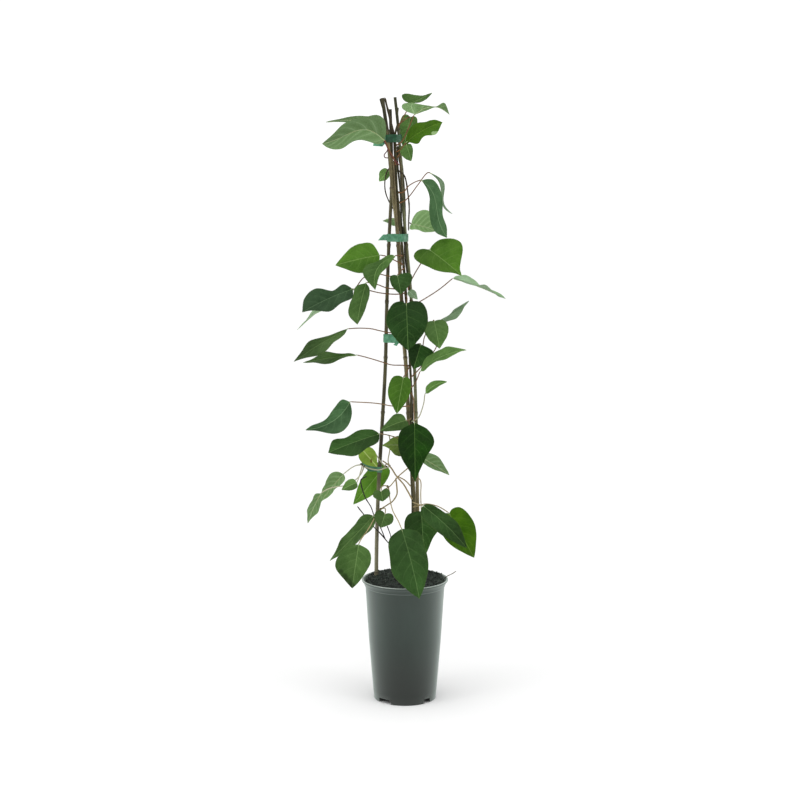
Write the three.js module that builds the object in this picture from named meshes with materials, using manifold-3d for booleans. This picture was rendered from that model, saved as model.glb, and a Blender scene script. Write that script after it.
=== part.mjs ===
// Potted hardy kiwi vine: a nursery pot filled with soil, three bamboo canes, plastic
// ties, woody and young vine stems, and the leaves that hang on them.
// Units are millimetres, +Z is up, and the origin is the middle of the pot's foot circle.
import * as THREE from "three";
import { mergeVertices } from "three/addons/utils/BufferGeometryUtils.js";
import Module from "manifold-3d";

const wasm = await Module();
wasm.setup();

// Driving sizes
const POT_HEIGHT = 212;
const RIM_RADIUS = 75;
const COLLAR_RADIUS = 69.5;
const COLLAR_DROP = 12;
const BELLY_RADIUS = 62.9;
const BELLY_HEIGHT = 107;
const FOOT_RADIUS = 54;
const WALL = 2;
const LIP_DROP = 8;
const FLOOR_HEIGHT = 13;
const PAD_RADIUS = 14;
const DRAIN_RADIUS = 5;
const DRAIN_RING = 30;
const DRAIN_COUNT = 6;
const DRAIN_SIDES = 12;
const POT_SEGMENTS = 36;
const SOIL_EDGE_HEIGHT = 207;
const SOIL_CROWN_HEIGHT = 213;
const SOIL_BACK_RISE = 7;
const SOIL_SEGMENTS = 28;
const SOIL_CLEARANCE = 0.7;
const GAP = 0.3;
const CANE_SIDES = 8;
const NODE_SPACING = 96;
const NODE_SWELL = 0.6;
const NODE_BELOW = 5;
const NODE_ABOVE = 4;
const NODE_TOP_GAP = 12;
const STEM_SIDES = 6;
const PETIOLE_SIDES = 5;
const STEPS_PER_SPAN = 1.1;
const STEPS_PER_STEM_SPAN = 1.6;
const PETIOLE_RADIUS = 1.1;
const BLADE_THICKNESS = 0.8;
const BLADE_MIN_HALF = 0.4;
const BLADE_FOOT_GAP = 0.5;
const TAPE_THICKNESS = 1;
const TAPE_SAMPLES = 4;
const STEM_SLACK = 0.2;

// Arches cut in the pot's skirt: middle angle from the front, width in degrees, height
const SKIRT_ARCHES = [
  [-41, 28, 8],
  [45, 16, 8],
  [-120, 26, 8],
  [120, 26, 8],
  [180, 26, 8],
];

// Woody twigs that end at a leaf, as places in the list of woody stems
const LEAF_TWIGS = { leaf_08: 3, leaf_09: 4, leaf_10: 5 };

// Finishes
const COLOURS = {
  pot: 0x66736d,
  soil: 0x2c2e30,
  cane: 0x8b8263,
  caneBrown: 0x6a5c4a,
  caneGreen: 0x4f5a3c,
  tape: 0x3f8f6e,
  woody: 0x4a3d30,
  young: 0x96674f,
  fresh: 0x4f8a2c,
  bright: 0x4c8212,
  mid: 0x467a38,
  deep: 0x355e2c,
  dark: 0x22451d,
  blue: 0x3a6046,
  pale: 0x74996a,
  olive: 0x7a9433,
};

// Canes: name, radius at foot, radius at top, colour, route from its foot in the soil up
const CANES = [
  ["cane_left", 3.6, 2.7, "caneBrown",
    [[-43, 25, 70], [-48, 29, 150], [-50, 30, 211], [-47, 25, 346], [-40, 20, 470],
      [-34, 15, 575], [-31, 10, 689], [-27, 6, 801], [-23, 4, 882], [-23, 3, 948], [-25, 2, 1016]]],
  ["cane_middle", 3.7, 3, "cane",
    [[24, 21, 70], [20, 18, 210], [16, 14, 339], [6, 8, 494], [2, 5, 576], [-2, 3, 628], [-6, 0, 696],
      [-10, -3, 764], [-14, -6, 823], [-19, -8, 865], [-24, -9, 915], [-29, -11, 970],
      [-38, -12, 1034]]],
  ["cane_right", 3, 2.5, "caneGreen",
    [[28, 8, 70], [25, 6, 208], [22, 4, 341], [19, 4, 498], [15, 4, 610], [9, 5, 718], [4, 6, 772],
      [0, 6, 814], [-4, 7, 865], [-8, 8, 940], [-12, 8, 990], [-17, 8, 1036]]],
];

// Woody stems: radius and route; the first climbs from the soil, the others join it
const WOODY_STEMS = [
  [2.1, [[8, 26, 150], [9, 25, 210], [12, 22, 268], [14, 21, 330], [15, 19, 384], [16, 16, 428],
    [13, 12, 472], [12, 12, 515], [10, 9, 558], [8, 3, 601], [5, 2, 644], [2, 4, 690],
    [-1, 5, 730], [-4, 5, 772], [-7, 6, 806], [-12, 4, 840], [-14, 3, 873], [-16, 2, 902],
    [-17, 2, 932], [-18, 0, 957], [-20, -4, 978], [-24, -6, 995], [-28, -7, 1011],
    [-34, -6, 1035]]],
  [1.3, [[-15, 2, 915], [-8, 0, 912], [-1, 2, 905], [5, 6, 874], [7, 6, 852], [6, 6, 828],
    [6, 5, 813]]],
  [1.2, [[-17, 2, 936], [-19, 8, 928], [-25, 12, 920], [-31, 12, 911], [-34, 11, 897],
    [-34, 10, 884], [-32, 10, 874], [-27, 11, 862], [-20, 11, 850], [-12, 4, 838]]],
  [1.1, [[-16, 2, 903], [-19, 10, 909], [-23, 15, 914], [-26, 16, 915]]],
  [1.1, [[-12, 4, 834], [-14, 12, 834], [-16, 20, 833]]],
  [1.1, [[6, 5, 827], [8, 10, 826], [10, 16, 825]]],
  [1, [[-83, 14, 337], [-69, 14, 319], [-52, 13, 298], [-43, 13, 289], [-29, 14, 272],
    [-14, 16, 254], [-2, 19, 240], [11, 23, 231]]],
  [1, [[-66, 12, 390], [-76, 12, 384], [-76, 12, 376], [-69, 12, 353], [-59, 12, 336],
    [-54, 12, 322], [-42, 13, 298], [-34, 14, 278]]],
  [0.9, [[-31, 14, 302], [-28, 14, 294], [-25, 14, 285], [-23, 15, 265]]],
];

// Young stems: radius and route; the first climbs from the soil, the others branch off
const YOUNG_STEMS = [
  [1.9, [[10, -2, 150], [10, -2, 200], [10, -4, 246], [12, -6, 299], [13, -7, 343],
    [11, -8, 387], [10, -8, 431], [10, -8, 474], [10, -8, 512], [10, -8, 552], [8, -8, 591],
    [6, -8, 629], [3, -8, 666], [2, -8, 705], [-1, -8, 744], [-4, -9, 781], [-8, -10, 818],
    [-11, -8, 857], [-14, -6, 890], [-15, -6, 923], [-16, -6, 952], [-16, -6, 978],
    [-12, -6, 992]]],
  [1.3, [[13, -8, 352], [4, -10, 369], [-3, -12, 381], [-15, -12, 395], [-21, -8, 404],
    [-26, 2, 409], [-34, 12, 414], [-39, 19, 416]]],
  [1.1, [[11, -8, 375], [-1, -12, 388], [-15, -12, 395]]],
  [1.2, [[-16, -12, 392], [-14, -8, 375], [-14, -2, 361], [-21, 4, 348], [-31, 8, 340],
    [-43, 8, 332], [-50, 6, 326]]],
  [1, [[10, -8, 412], [1, -12, 405], [-11, -14, 395], [-27, -6, 375], [-36, 2, 369]]],
  [1, [[-26, 2, 409], [-29, 2, 418], [-26, 0, 440], [-27, -6, 463], [-31, -16, 467]]],
  [1.1, [[-26, 2, 409], [-33, 0, 407], [-46, -4, 404], [-67, -6, 409], [-77, -8, 416]]],
];

// Petioles: routes from a young stem to the foot of each leaf
const PETIOLES = {
  leaf_01: [[-15, -6, 922], [-20, -16, 937], [-26, -22, 947], [-34, -24, 965]],
  leaf_02: [[-15, -6, 918], [-19, -2, 926], [-27, -2, 945], [-35, 8, 970], [-41, 16, 997]],
  leaf_03: [[-13, -6, 985], [-7, -4, 995], [1, 2, 1010], [8, 1, 1020], [9, -4, 1025]],
  leaf_04: [[-16, -6, 955], [-5, -12, 963], [5, -14, 983], [15, -14, 1007]],
  leaf_05: [[-16, -6, 945], [-9, -12, 948], [-3, -18, 955], [2, -20, 961]],
  leaf_06: [[-12, -6, 990], [-4, 0, 996], [4, 16, 1002], [9, 22, 1004]],
  leaf_07: [[-15, -6, 935], [-9, -6, 942], [-5, 1, 950], [-1, 5, 957], [2, 2, 958]],
  leaf_11: [[-12, -6, 877], [-2, -14, 879], [5, -18, 888], [16, -20, 895], [27, -20, 899]],
  leaf_12: [[-11, -8, 860], [-2, -5, 863], [6, -3, 870], [22, 0, 891], [37, 2, 910], [42, 2, 911]],
  leaf_13: [[-2, -8, 756], [-9, -12, 760], [-19, -13, 765], [-32, -12, 771], [-42, -10, 773]],
  leaf_14: [[-4, -9, 771], [-8, -18, 773], [-12, -24, 773], [-17, -26, 773]],
  leaf_15: [[1, -8, 717], [-15, -14, 716], [-31, -16, 718], [-46, -24, 724], [-65, -34, 729]],
  leaf_16: [[2, -8, 709], [-14, -12, 707], [-40, -14, 709], [-63, -16, 714], [-88, -22, 717]],
  leaf_17: [[0, -8, 734], [-15, -10, 736], [-31, -8, 738], [-49, -2, 741], [-69, 2, 735],
    [-85, 4, 715]],
  leaf_18: [[5, -8, 647], [-12, -12, 643], [-26, -14, 642], [-41, -16, 645], [-58, -18, 649],
    [-78, -18, 650], [-97, -18, 649]],
  leaf_19: [[8, -8, 584], [-3, -12, 586], [-23, -14, 587], [-37, -12, 591], [-65, -8, 599],
    [-82, -6, 603]],
  leaf_20: [[2, -8, 722], [10, -12, 731], [18, -14, 745], [27, -16, 760], [35, -24, 775],
    [40, -34, 784]],
  leaf_21: [[3, -8, 677], [15, -12, 689], [31, -12, 698], [59, -10, 716], [81, -8, 734]],
  leaf_22: [[-1, -8, 751], [-6, -20, 748], [-10, -30, 744], [-13, -34, 741]],
  leaf_23: [[2, -8, 704], [3, -24, 702], [3, -36, 697], [2, -40, 694]],
  leaf_24: [[7, -8, 600], [17, -10, 605], [28, -8, 612], [33, -8, 634], [42, -6, 652],
    [48, -8, 662], [49, -16, 663]],
  leaf_25: [[9, -8, 564], [20, -12, 575], [37, -10, 595], [53, -4, 616], [56, 0, 637],
    [56, 2, 655]],
  leaf_26: [[6, -8, 613], [13, -6, 618], [22, -6, 622], [27, -14, 623]],
  leaf_27: [[10, -8, 547], [16, -22, 555], [21, -32, 567], [25, -36, 578.5]],
  leaf_28: [[10, -8, 488], [23, -10, 496], [28, -10, 507], [32, -9, 521], [34, -8, 537]],
  leaf_29: [[8, -8, 584], [3, -22, 577], [0, -30, 572], [-3, -32, 568]],
  leaf_30: [[10, -8, 495], [8, -16, 493], [6, -20, 493], [2, -22, 493]],
  leaf_31: [[10, -8, 540], [14, -16, 530], [15, -26, 511], [16, -32, 491]],
  leaf_32: [[10, -8, 439], [15, -6, 436], [22, -6, 430], [27, -6, 427]],
  leaf_33: [[10, -8, 450], [9, -5, 449], [7, -3, 447], [4, -3, 446]],
  leaf_34: [[10, -8, 516], [-9, -12, 515], [-26, -14, 517], [-40, -16, 520], [-56, -16, 522],
    [-74, -16, 523], [-93, -16, 524]],
  leaf_35: [[10, -8, 453], [-3, -12, 457], [-18, -14, 463], [-31, -16, 467], [-43, -16, 469]],
  leaf_36: [[-31, 0, 407], [-41, 4, 416], [-57, 9, 438], [-70, 10, 444], [-74, 2, 439]],
  leaf_37: [[-74, -8, 414], [-84, -6, 412], [-94, -2, 406], [-106, 0, 396]],
  leaf_38: [[-70, -7, 411], [-76, -8, 397], [-88, -14, 386], [-102, -21, 380], [-117, -27, 379],
    [-131, -28, 375.5], [-144, -25, 367.5]],
  leaf_39: [[-73, -7, 413], [-76, -14, 403], [-79, -22, 394], [-82, -24, 386]],
  leaf_40: [[-26, 2, 409], [-28, 14, 410], [-32, 32, 408], [-35, 40, 403]],
  leaf_41: [[1, -8, 722], [4, -13, 721], [5, -16, 718], [5, -16, 714]],
  leaf_42: [[-29, -4, 374], [-34, -6, 377], [-40, -7, 375], [-41, -14, 369]],
  leaf_43: [[-43, 8, 332], [-38, 4, 335], [-34, -4, 336], [-34, -14, 329.5]],
  leaf_44: [[-48, 6, 327], [-50, 2, 326], [-52, -2, 325], [-54, -4, 324]],
  leaf_45: [[-50, 6, 326], [-52, -14, 323], [-59, -34, 313], [-66, -41, 303], [-75, -45, 291],
    [-79, -44, 283]],
  leaf_46: [[-29, -4, 374], [-27, -8, 366], [-26, -18, 357], [-21, -34, 339], [-11, -46, 322],
    [-6, -50, 311]],
  leaf_47: [[11, -8, 392], [24, -12, 390], [27, -13, 385], [27, -14, 362], [28, -14, 334]],
  leaf_48: [[13, -8, 349], [19, -18, 348], [26, -30, 348], [30, -34, 348]],
  leaf_49: [[13, -8, 340], [24, -12, 343], [34, -12, 346], [44, -10, 345], [59, -8, 340],
    [76, -6, 329]],
};

// Leaves: name, foot of the blade, tip, way the upper face looks, half width, twist and
// fold in degrees, arch and sweep of the midrib, lobe as a share of length, wave, tone
const LEAVES = [
  ["leaf_01", [-34, -24, 965], [-136, -70, 958], [0, 0.8, 0.6],
    [[27, 25, 23, 9], [25, 27, 29, 15]], 0, 8, 14, [9, 8], [0.08, 0.08], 3, "pale"],
  ["leaf_02", [-41, 16, 997], [-135, 55, 996], [0.1, 0.9, 0.5],
    [[6, 6, 5, 2], [10, 14, 7, 2]], 0, 8, 6, [0, 0], [0.08, 0.08], 2, "pale"],
  ["leaf_03", [9, -4, 1025], [45, 4, 1043], [0, -1, 0.3],
    [[19, 10, 3, 1], [2, 6, 6, 3]], 0, 10, 0, [0, 0], [0.33, 0], 1, "mid"],
  ["leaf_04", [15, -14, 1007], [74, -4, 1007], [0, 0.9, 0.3],
    [[3.5, 5, 0.8, 0.8], [12, 3.5, 0.8, 12]], 0, 8, 0, [-13.5, 0], [0, 0.48], 1, "pale"],
  ["leaf_05", [2, -20, 961], [61, -52, 993], [0, -0.8, 0.6],
    [[12, 16, 14, 9], [6, 22, 19, 22]], 0, 12, 6, [0, 0], [0.04, 0.04], 3, "fresh"],
  ["leaf_06", [9, 22, 1004], [-2, 28, 952], [0, -1, 0.2],
    [[12, 14, 12, 5], [13, 15, 13, 6]], 0, 10, 4, [0, 0], [0.15, 0.15], 2, "mid"],
  ["leaf_07", [2, 2, 958], [10, -6, 930], [0.1, -1, 0.1],
    [[7, 8, 6, 3], [10, 14, 13, 8]], 0, 10, 3, [0, 0], [0.1, 0.1], 1, "mid"],
  ["leaf_08", [-26, 16, 915], [-44, 26, 896], [0, -1, 0.5],
    [10, 10], 0, 12, 2, [0, 0], [0.05, 0.05], 1, "fresh"],
  ["leaf_09", [-16, 20, 833], [-38, 34, 829], [0, 0.9, 0.4],
    [[1, 1.5, 1, 0.6], [12, 16, 13, 5]], 0, 10, 2, [0, 0], [0.05, 0.05], 1, "pale"],
  ["leaf_10", [10, 16, 825], [55, 46, 811], [0, 0.95, 0.3],
    [[11, 10, 10, 5], [20, 29, 24, 10]], 0, 8, 4, [0, 0], [0.05, 0.08], 2, "pale"],
  ["leaf_11", [27, -20, 899], [69, -52, 804], [-0.3, -0.95, 0.1],
    [[14, 14, 10, 10], [4, 8, 14, 12]], 0, 15, 4, [6, 5], [0.03, 0.03], 4, "blue"],
  ["leaf_12", [42, 2, 911], [80, 20, 841], [-0.3, -0.9, 0.2],
    [[2, 4, 2, 1.5], [2, 4, 2, 1.5]], 0, 10, 2, [2.5, 7.5], [0, 0], 1, "blue"],
  ["leaf_13", [-42, -10, 773], [-116, -46, 758], [0, -0.95, 0.3],
    [[14, 26, 24, 11], [21, 25, 21, 9]], 0, 8, 5, [0, 0], [0.02, 0.02], 2, "fresh"],
  ["leaf_14", [-17, -26, 773], [-50, -58, 718], [-0.2, -0.95, 0.1],
    [[8, 13, 9.5, 5.5], [4, 6.5, 20, 20]], 0, 15, 3, [-14, 0], [0.06, 0.06], 2, "mid"],
  ["leaf_15", [-65, -34, 729], [-80, -56, 660], [-0.35, -0.93, 0],
    [[9, 14, 12, 6], [14, 16, 18, 15]], 0, 15, 4, [0, 0], [0, 0], 2, "mid"],
  ["leaf_16", [-88, -22, 717], [-172, -48, 680], [0, -0.75, 0.65],
    [[20, 22, 26, 8], [14, 10, 26, 20]], 0, 10, 4, [0, 0], [0.02, 0.02], 2, "blue"],
  ["leaf_17", [-85, 4, 715], [-186, 36, 642], [0.1, 0.1, 1],
    [[8, 12, 8, 2], [10, 14, 6, 2]], 0, 15, 6, [0, 0], [0.03, 0.03], 3, "pale"],
  ["leaf_18", [-97, -18, 649], [-186, -58, 598], [-0.2, -0.55, 0.8],
    [[12, 22, 30, 12], [2, 9, 15, 6]], 0, 12, 3, [0, 0], [0, 0.02], 2, "mid"],
  ["leaf_19", [-82, -6, 603], [-173, -14, 591], [0, -0.5, 0.87],
    [[3, 11, 22, 8], [6, 6, 16, 3]], 0, 12, 2, [0, 0], [0, 0], 2, "mid"],
  ["leaf_20", [40, -34, 784], [94, -48, 741], [0.1, -1, 0.25],
    [[25, 40, 36, 8], [28, 25, 17, 5]], 0, 6, 4, [0, 0], [0.08, 0.3], 2, "fresh"],
  ["leaf_21", [81, -8, 734], [172, 18, 697], [0.2, -0.15, 1],
    [[15, 18, 14, 6], [15, 18, 14, 6]], 0, 12, 3, [0, 0], [0.03, 0.03], 5, "pale"],
  ["leaf_22", [-13, -34, 741], [-7, -44, 709], [0.05, -1, 0.2],
    [[20, 23, 17, 7], [12, 14, 11, 5]], 0, 6, 3, [0, 0], [0.14, 0.14], 1, "deep"],
  ["leaf_23", [2, -40, 694], [5, -62, 617], [0, -1, 0.2],
    [[27, 35, 30, 14], [23, 35, 29, 14]], 0, 6, 6, [0, 0], [0.12, 0.12], 2, "dark"],
  ["leaf_24", [49, -16, 663], [58, -34, 617], [0.1, -1, 0.3],
    [21, 21], 0, 8, 3, [0, 0], [0.08, 0.08], 2, "mid"],
  ["leaf_25", [56, 2, 655], [109, 12, 694], [0.3, -0.5, 0.8],
    [[3, 1, 0.8, 1.5], [7, 16, 13, 5.5]], 0, 15, 2, [0, 0], [0, 0], 3, "pale"],
  ["leaf_26", [27, -14, 623], [14, -26, 581], [0.1, -1, 0.2],
    [[21, 27, 20, 8], [14, 18, 14, 6]], 0, 8, 2, [0, 0], [0.04, 0.04], 3, "dark"],
  ["leaf_27", [25, -36, 578.5], [102, -60, 617.5], [-0.2, -0.5, 0.85],
    [[12, 19, 16, 7], [12, 16, 13, 5]], 0, 12, 9, [0, 0], [0, 0], 3, "mid"],
  ["leaf_28", [34, -8, 537], [71, -20, 559], [0, -0.85, 0.5],
    [[7, 8, 7, 3.5], [5, 6, 5.5, 3]], 0, 10, 4, [3, 0], [0, 0], 1, "fresh"],
  ["leaf_29", [-3, -32, 568], [-14, -46, 508], [0, -1, 0.1],
    [[12, 16, 13, 6], [17, 22, 19, 8]], 0, 10, 4, [0, 0], [0.1, 0.1], 2, "fresh"],
  ["leaf_30", [2, -22, 493], [-42, -42, 478], [0, -0.85, 0.55],
    [[12, 15, 13, 6], [12, 15, 10, 4]], 0, 8, 4, [0, 0], [0.08, 0.08], 2, "mid"],
  ["leaf_31", [16, -32, 491], [17, -60, 394], [0, -1, 0.15],
    [[22, 33, 19, 6.5], [22, 28.5, 23, 8]], 0, 8, 6, [0, 0], [0, 0], 2, "dark"],
  ["leaf_32", [27, -6, 427], [76, -14, 397], [0, 0.95, 0.3],
    [[8, 9, 7, 3], [11, 15, 12, 5]], 0, 8, 3, [0, 0], [0.06, 0.06], 2, "pale"],
  ["leaf_33", [4, -3, 446], [-39, -14, 448], [0, 0.9, 0.4],
    [[20, 17, 12, 5], [24, 24, 12, 4]], 0, 8, 3, [0, 0], [0.08, 0.08], 2, "olive"],
  ["leaf_34", [-93, -16, 524], [-168, -46, 480], [0, -0.85, 0.5],
    [[15, 26, 24, 6], [16, 16, 8, 7]], 0, 12, 4, [14, 0], [0.01, 0.01], 1.5, "blue"],
  ["leaf_35", [-43, -16, 469], [-130, -44, 441], [0, -0.85, 0.5],
    [[15, 19, 26, 12], [11, 16, 13, 16]], 0, 10, 4, [0, 0], [0.02, 0.02], 2, "deep"],
  ["leaf_36", [-74, 2, 439], [-48, -2, 409], [0, -1, 0.2],
    [15, 15], 0, 10, 2, [0, 0], [0.06, 0.06], 1, "olive"],
  ["leaf_37", [-106, 0, 396], [-144, -8, 350], [-0.3, 0.8, 0.5],
    [17, 17], 0, 15, 3, [0, 0], [0.05, 0.05], 3, "pale"],
  ["leaf_38", [-144, -25, 367.5], [-166, -41, 318.5], [-0.3, 0.8, 0.5],
    [[8, 9, 7, 4], [12, 16, 13, 6]], 0, 15, 3, [0, 0], [0.04, 0.04], 3, "pale"],
  ["leaf_39", [-82, -24, 386], [-108, -34, 375], [0, -0.9, 0.4],
    [10, 10], 0, 10, 2, [0, 0], [0.06, 0.06], 1, "mid"],
  ["leaf_40", [-35, 40, 403], [-90, 34, 336], [0, -1, 0.1],
    [19, 19], 0, 10, 4, [0, 0], [0.1, 0.1], 2, "fresh"],
  ["leaf_41", [5, -16, 714], [21, -20, 699], [0, -0.9, 0.4],
    [7, 7], 0, 10, 1, [0, 0], [0.02, 0.02], 1, "pale"],
  ["leaf_42", [-41, -14, 369], [-38, -20, 352], [0, -1, 0.2],
    [15, 15], 0, 8, 1, [0, 0], [0.3, 0.3], 1, "mid"],
  ["leaf_43", [-34, -14, 329.5], [-42, -22, 306.5], [0, -1, 0.2],
    [17, 17], 0, 8, 2, [0, 0], [0.25, 0.25], 1, "mid"],
  ["leaf_44", [-54, -4, 324], [-129, -36, 252], [-0.4, -0.7, 0.6],
    [[16.7, 22, 18, 8], [14, 16, 12, 4]], 0, 15, 4, [4, 0], [0.03, 0.03], 4, "blue"],
  ["leaf_45", [-79, -44, 283], [-90, -62, 210], [0, -1, 0.15],
    [[19, 25, 19, 9], [20, 32, 33, 14]], 0, 8, 4, [0, 0], [0.02, 0.02], 2, "mid"],
  ["leaf_46", [-6, -50, 311], [24, -92, 200], [0, -1, 0.15],
    [[25, 29, 27, 13], [25, 33, 35, 17]], 0, 8, 6, [2, 0], [0.02, 0.02], 2, "deep"],
  ["leaf_47", [28, -14, 334], [33, -30, 257], [0, -1, 0.15],
    [[24, 31, 17, 7], [24, 31, 25, 11]], 0, 8, 4, [0, 0], [0.06, 0.06], 2, "deep"],
  ["leaf_48", [30, -34, 348], [105, -52, 278], [-0.3, -0.8, 0.5],
    [[10, 15, 17, 8], [16, 20, 17, 8]], 0, 18, 5, [3, 0], [0.04, 0.04], 4, "blue"],
  ["leaf_49", [76, -6, 329], [119, -22, 254], [0.1, -1, 0.15],
    [29, 29], 0, 8, 4, [0, 0], [0.12, 0.12], 2, "bright"],
];

// Ties: name, bottom height, top height, canes held, and the loose tail's outline in X and Z
const TIES = [
  ["tie_1", 961, 974, ["cane_left", "cane_middle", "cane_right"], -5,
    [[-30.9, 962], [-30.9, 972], [-38, 966], [-52, 963], [-54, 955], [-38, 954]]],
  ["tie_2", 795, 808, ["cane_left", "cane_middle", "cane_right"], 4,
    [[-30.8, 797], [-30.8, 807], [-37, 807], [-46, 797]]],
  ["tie_3", 623, 637, ["cane_left", "cane_middle", "cane_right"], -3,
    [[-16, 624], [-10, 634], [-8, 628], [-14, 618], [-20, 620]]],
  ["tie_4", 395, 405, ["cane_left"], 20.5,
    [[-48.3, 397], [-48.3, 404], [-60, 407], [-74, 416], [-76, 409], [-62, 397]]],
];

// The blade's outline and relief, shared by every leaf
const STATIONS = [0, 0.05, 0.12, 0.23, 0.35, 0.6, 0.85, 1];
const SMALL_STATIONS = [0, 0.12, 0.35, 0.6, 0.85, 1];
const SMALL_HALF = 17.5;
const OUTLINE_AT = [0.12, 0.35, 0.6, 0.85];
const OUTLINE = [0.76, 1, 0.81, 0.35];
const LOBE_REACH = 0.09;
const WAVES = 1.5;

function vector(point) {
  return new THREE.Vector3(point[0], point[1], point[2]);
}

function curveThrough(points) {
  return new THREE.CatmullRomCurve3(points.map(vector), false, "centripetal");
}

// A bare position-only geometry whose shared vertices are merged
function welded(geometry) {
  const bare = geometry.clone();
  bare.deleteAttribute("normal");
  bare.deleteAttribute("uv");
  return mergeVertices(bare, 1e-4);
}

function toSolid(geometry) {
  const bare = welded(geometry);
  const vertProperties = new Float32Array(bare.attributes.position.array);
  const triVerts = new Uint32Array(bare.index.array);
  return new wasm.Manifold(new wasm.Mesh({ numProp: 3, vertProperties, triVerts }));
}

function toGeometry(solid) {
  const mesh = solid.getMesh();
  const geometry = new THREE.BufferGeometry();
  geometry.setAttribute("position", new THREE.Float32BufferAttribute(mesh.vertProperties, 3));
  geometry.setIndex(new THREE.BufferAttribute(new Uint32Array(mesh.triVerts), 1));
  geometry.computeVertexNormals();
  return geometry;
}

function named(name, geometry, colour, roughness) {
  const material = new THREE.MeshStandardMaterial({ color: COLOURS[colour], roughness, metalness: 0 });
  const mesh = new THREE.Mesh(geometry, material);
  mesh.name = name;
  return mesh;
}

// A round stem of one radius along a route
function stem(points, radius, sides, stepsPerSpan) {
  const section = new THREE.Shape();
  section.absarc(0, 0, radius, 0, 2 * Math.PI, false);
  return new THREE.ExtrudeGeometry(section, {
    extrudePath: curveThrough(points),
    steps: Math.round((points.length - 1) * stepsPerSpan),
    curveSegments: sides / 2,
    bevelEnabled: false,
  });
}

// The same route with its foot a little lower, for the hole it stands in
function deeper([foot, ...rest]) {
  return [[foot[0], foot[1], foot[2] - GAP], ...rest];
}

function joined(solids) {
  return solids.reduce((whole, solid) => whole.add(solid));
}

// The pot: one shell of revolution with an arched skirt, a middle foot and drain holes
function potGeometry() {
  const top = POT_HEIGHT;
  const profile = [
    [0, 0],
    [PAD_RADIUS, 0],
    [PAD_RADIUS + WALL, FLOOR_HEIGHT - WALL],
    [FOOT_RADIUS - WALL, FLOOR_HEIGHT - WALL],
    [FOOT_RADIUS - WALL - 0.4, 0],
    [FOOT_RADIUS, 0],
    [FOOT_RADIUS + 1.6, 17],
    [BELLY_RADIUS, BELLY_HEIGHT],
    [COLLAR_RADIUS - 0.8, top - COLLAR_DROP - 0.5],
    [COLLAR_RADIUS, top - COLLAR_DROP],
    [COLLAR_RADIUS + 1.3, top - LIP_DROP],
    [RIM_RADIUS - 1, top - 3.5],
    [RIM_RADIUS, top - 2],
    [RIM_RADIUS - 0.6, top],
    [RIM_RADIUS - 2.6, top],
    [COLLAR_RADIUS - 1, top - LIP_DROP],
    [COLLAR_RADIUS - 2.6, top - COLLAR_DROP - 0.5],
    [BELLY_RADIUS - WALL, BELLY_HEIGHT],
    [FOOT_RADIUS + 1.2 - WALL, FLOOR_HEIGHT],
    [PAD_RADIUS, FLOOR_HEIGHT],
    [PAD_RADIUS - WALL, WALL],
    [0, WALL],
  ];
  let pot = toSolid(turned(profile, POT_SEGMENTS));
  for (const [middle, width, height] of SKIRT_ARCHES) {
    pot = pot.subtract(toSolid(archCutter(middle, width, height)));
  }
  for (let i = 0; i < DRAIN_COUNT; i += 1) {
    const angle = (2 * Math.PI * i) / DRAIN_COUNT;
    const drain = new THREE.CylinderGeometry(DRAIN_RADIUS, DRAIN_RADIUS, FLOOR_HEIGHT, DRAIN_SIDES);
    drain.rotateX(Math.PI / 2);
    drain.translate(DRAIN_RING * Math.cos(angle), DRAIN_RING * Math.sin(angle), FLOOR_HEIGHT - WALL / 2);
    pot = pot.subtract(toSolid(drain));
  }
  return toGeometry(pot);
}

// A profile of radius and height turned round Z
function turned(profile, segments) {
  const outline = profile.map(([radius, height]) => new THREE.Vector2(radius, height));
  return new THREE.LatheGeometry(outline, segments).rotateX(Math.PI / 2);
}

// A round-topped block across the skirt at one angle from the front
function archCutter(middle, width, height) {
  const half = FOOT_RADIUS * Math.sin(THREE.MathUtils.degToRad(width / 2));
  const arch = new THREE.Shape();
  arch.moveTo(-half - 1, -1);
  arch.lineTo(half + 1, -1);
  arch.lineTo(half - 1, height - 3);
  arch.quadraticCurveTo(half - 2, height, 0, height);
  arch.quadraticCurveTo(-half + 2, height, -half + 1, height - 3);
  arch.closePath();
  const depth = 6 * WALL;
  const cutter = new THREE.ExtrudeGeometry(arch, { depth, curveSegments: 4, bevelEnabled: false });
  cutter.rotateX(Math.PI / 2);
  cutter.translate(0, 2 * depth / 3 - FOOT_RADIUS, 0);
  return cutter.rotateZ(THREE.MathUtils.degToRad(middle));
}

// Height of the soil's surface, with crumbs, at a place in the pot
function soilHeight(x, y) {
  const share = Math.min(1, Math.hypot(x, y) / COLLAR_RADIUS);
  const crown = SOIL_EDGE_HEIGHT + (SOIL_CROWN_HEIGHT - SOIL_EDGE_HEIGHT) * (1 - share * share);
  const rise = SOIL_BACK_RISE * share * Math.max(0, y / COLLAR_RADIUS);
  const coarse = 1.1 * Math.sin(0.31 * x + 1.2) * Math.cos(0.27 * y);
  const fine = 0.7 * Math.sin(0.53 * y - 0.4 * x);
  return crown + rise + coarse + fine;
}

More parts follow.
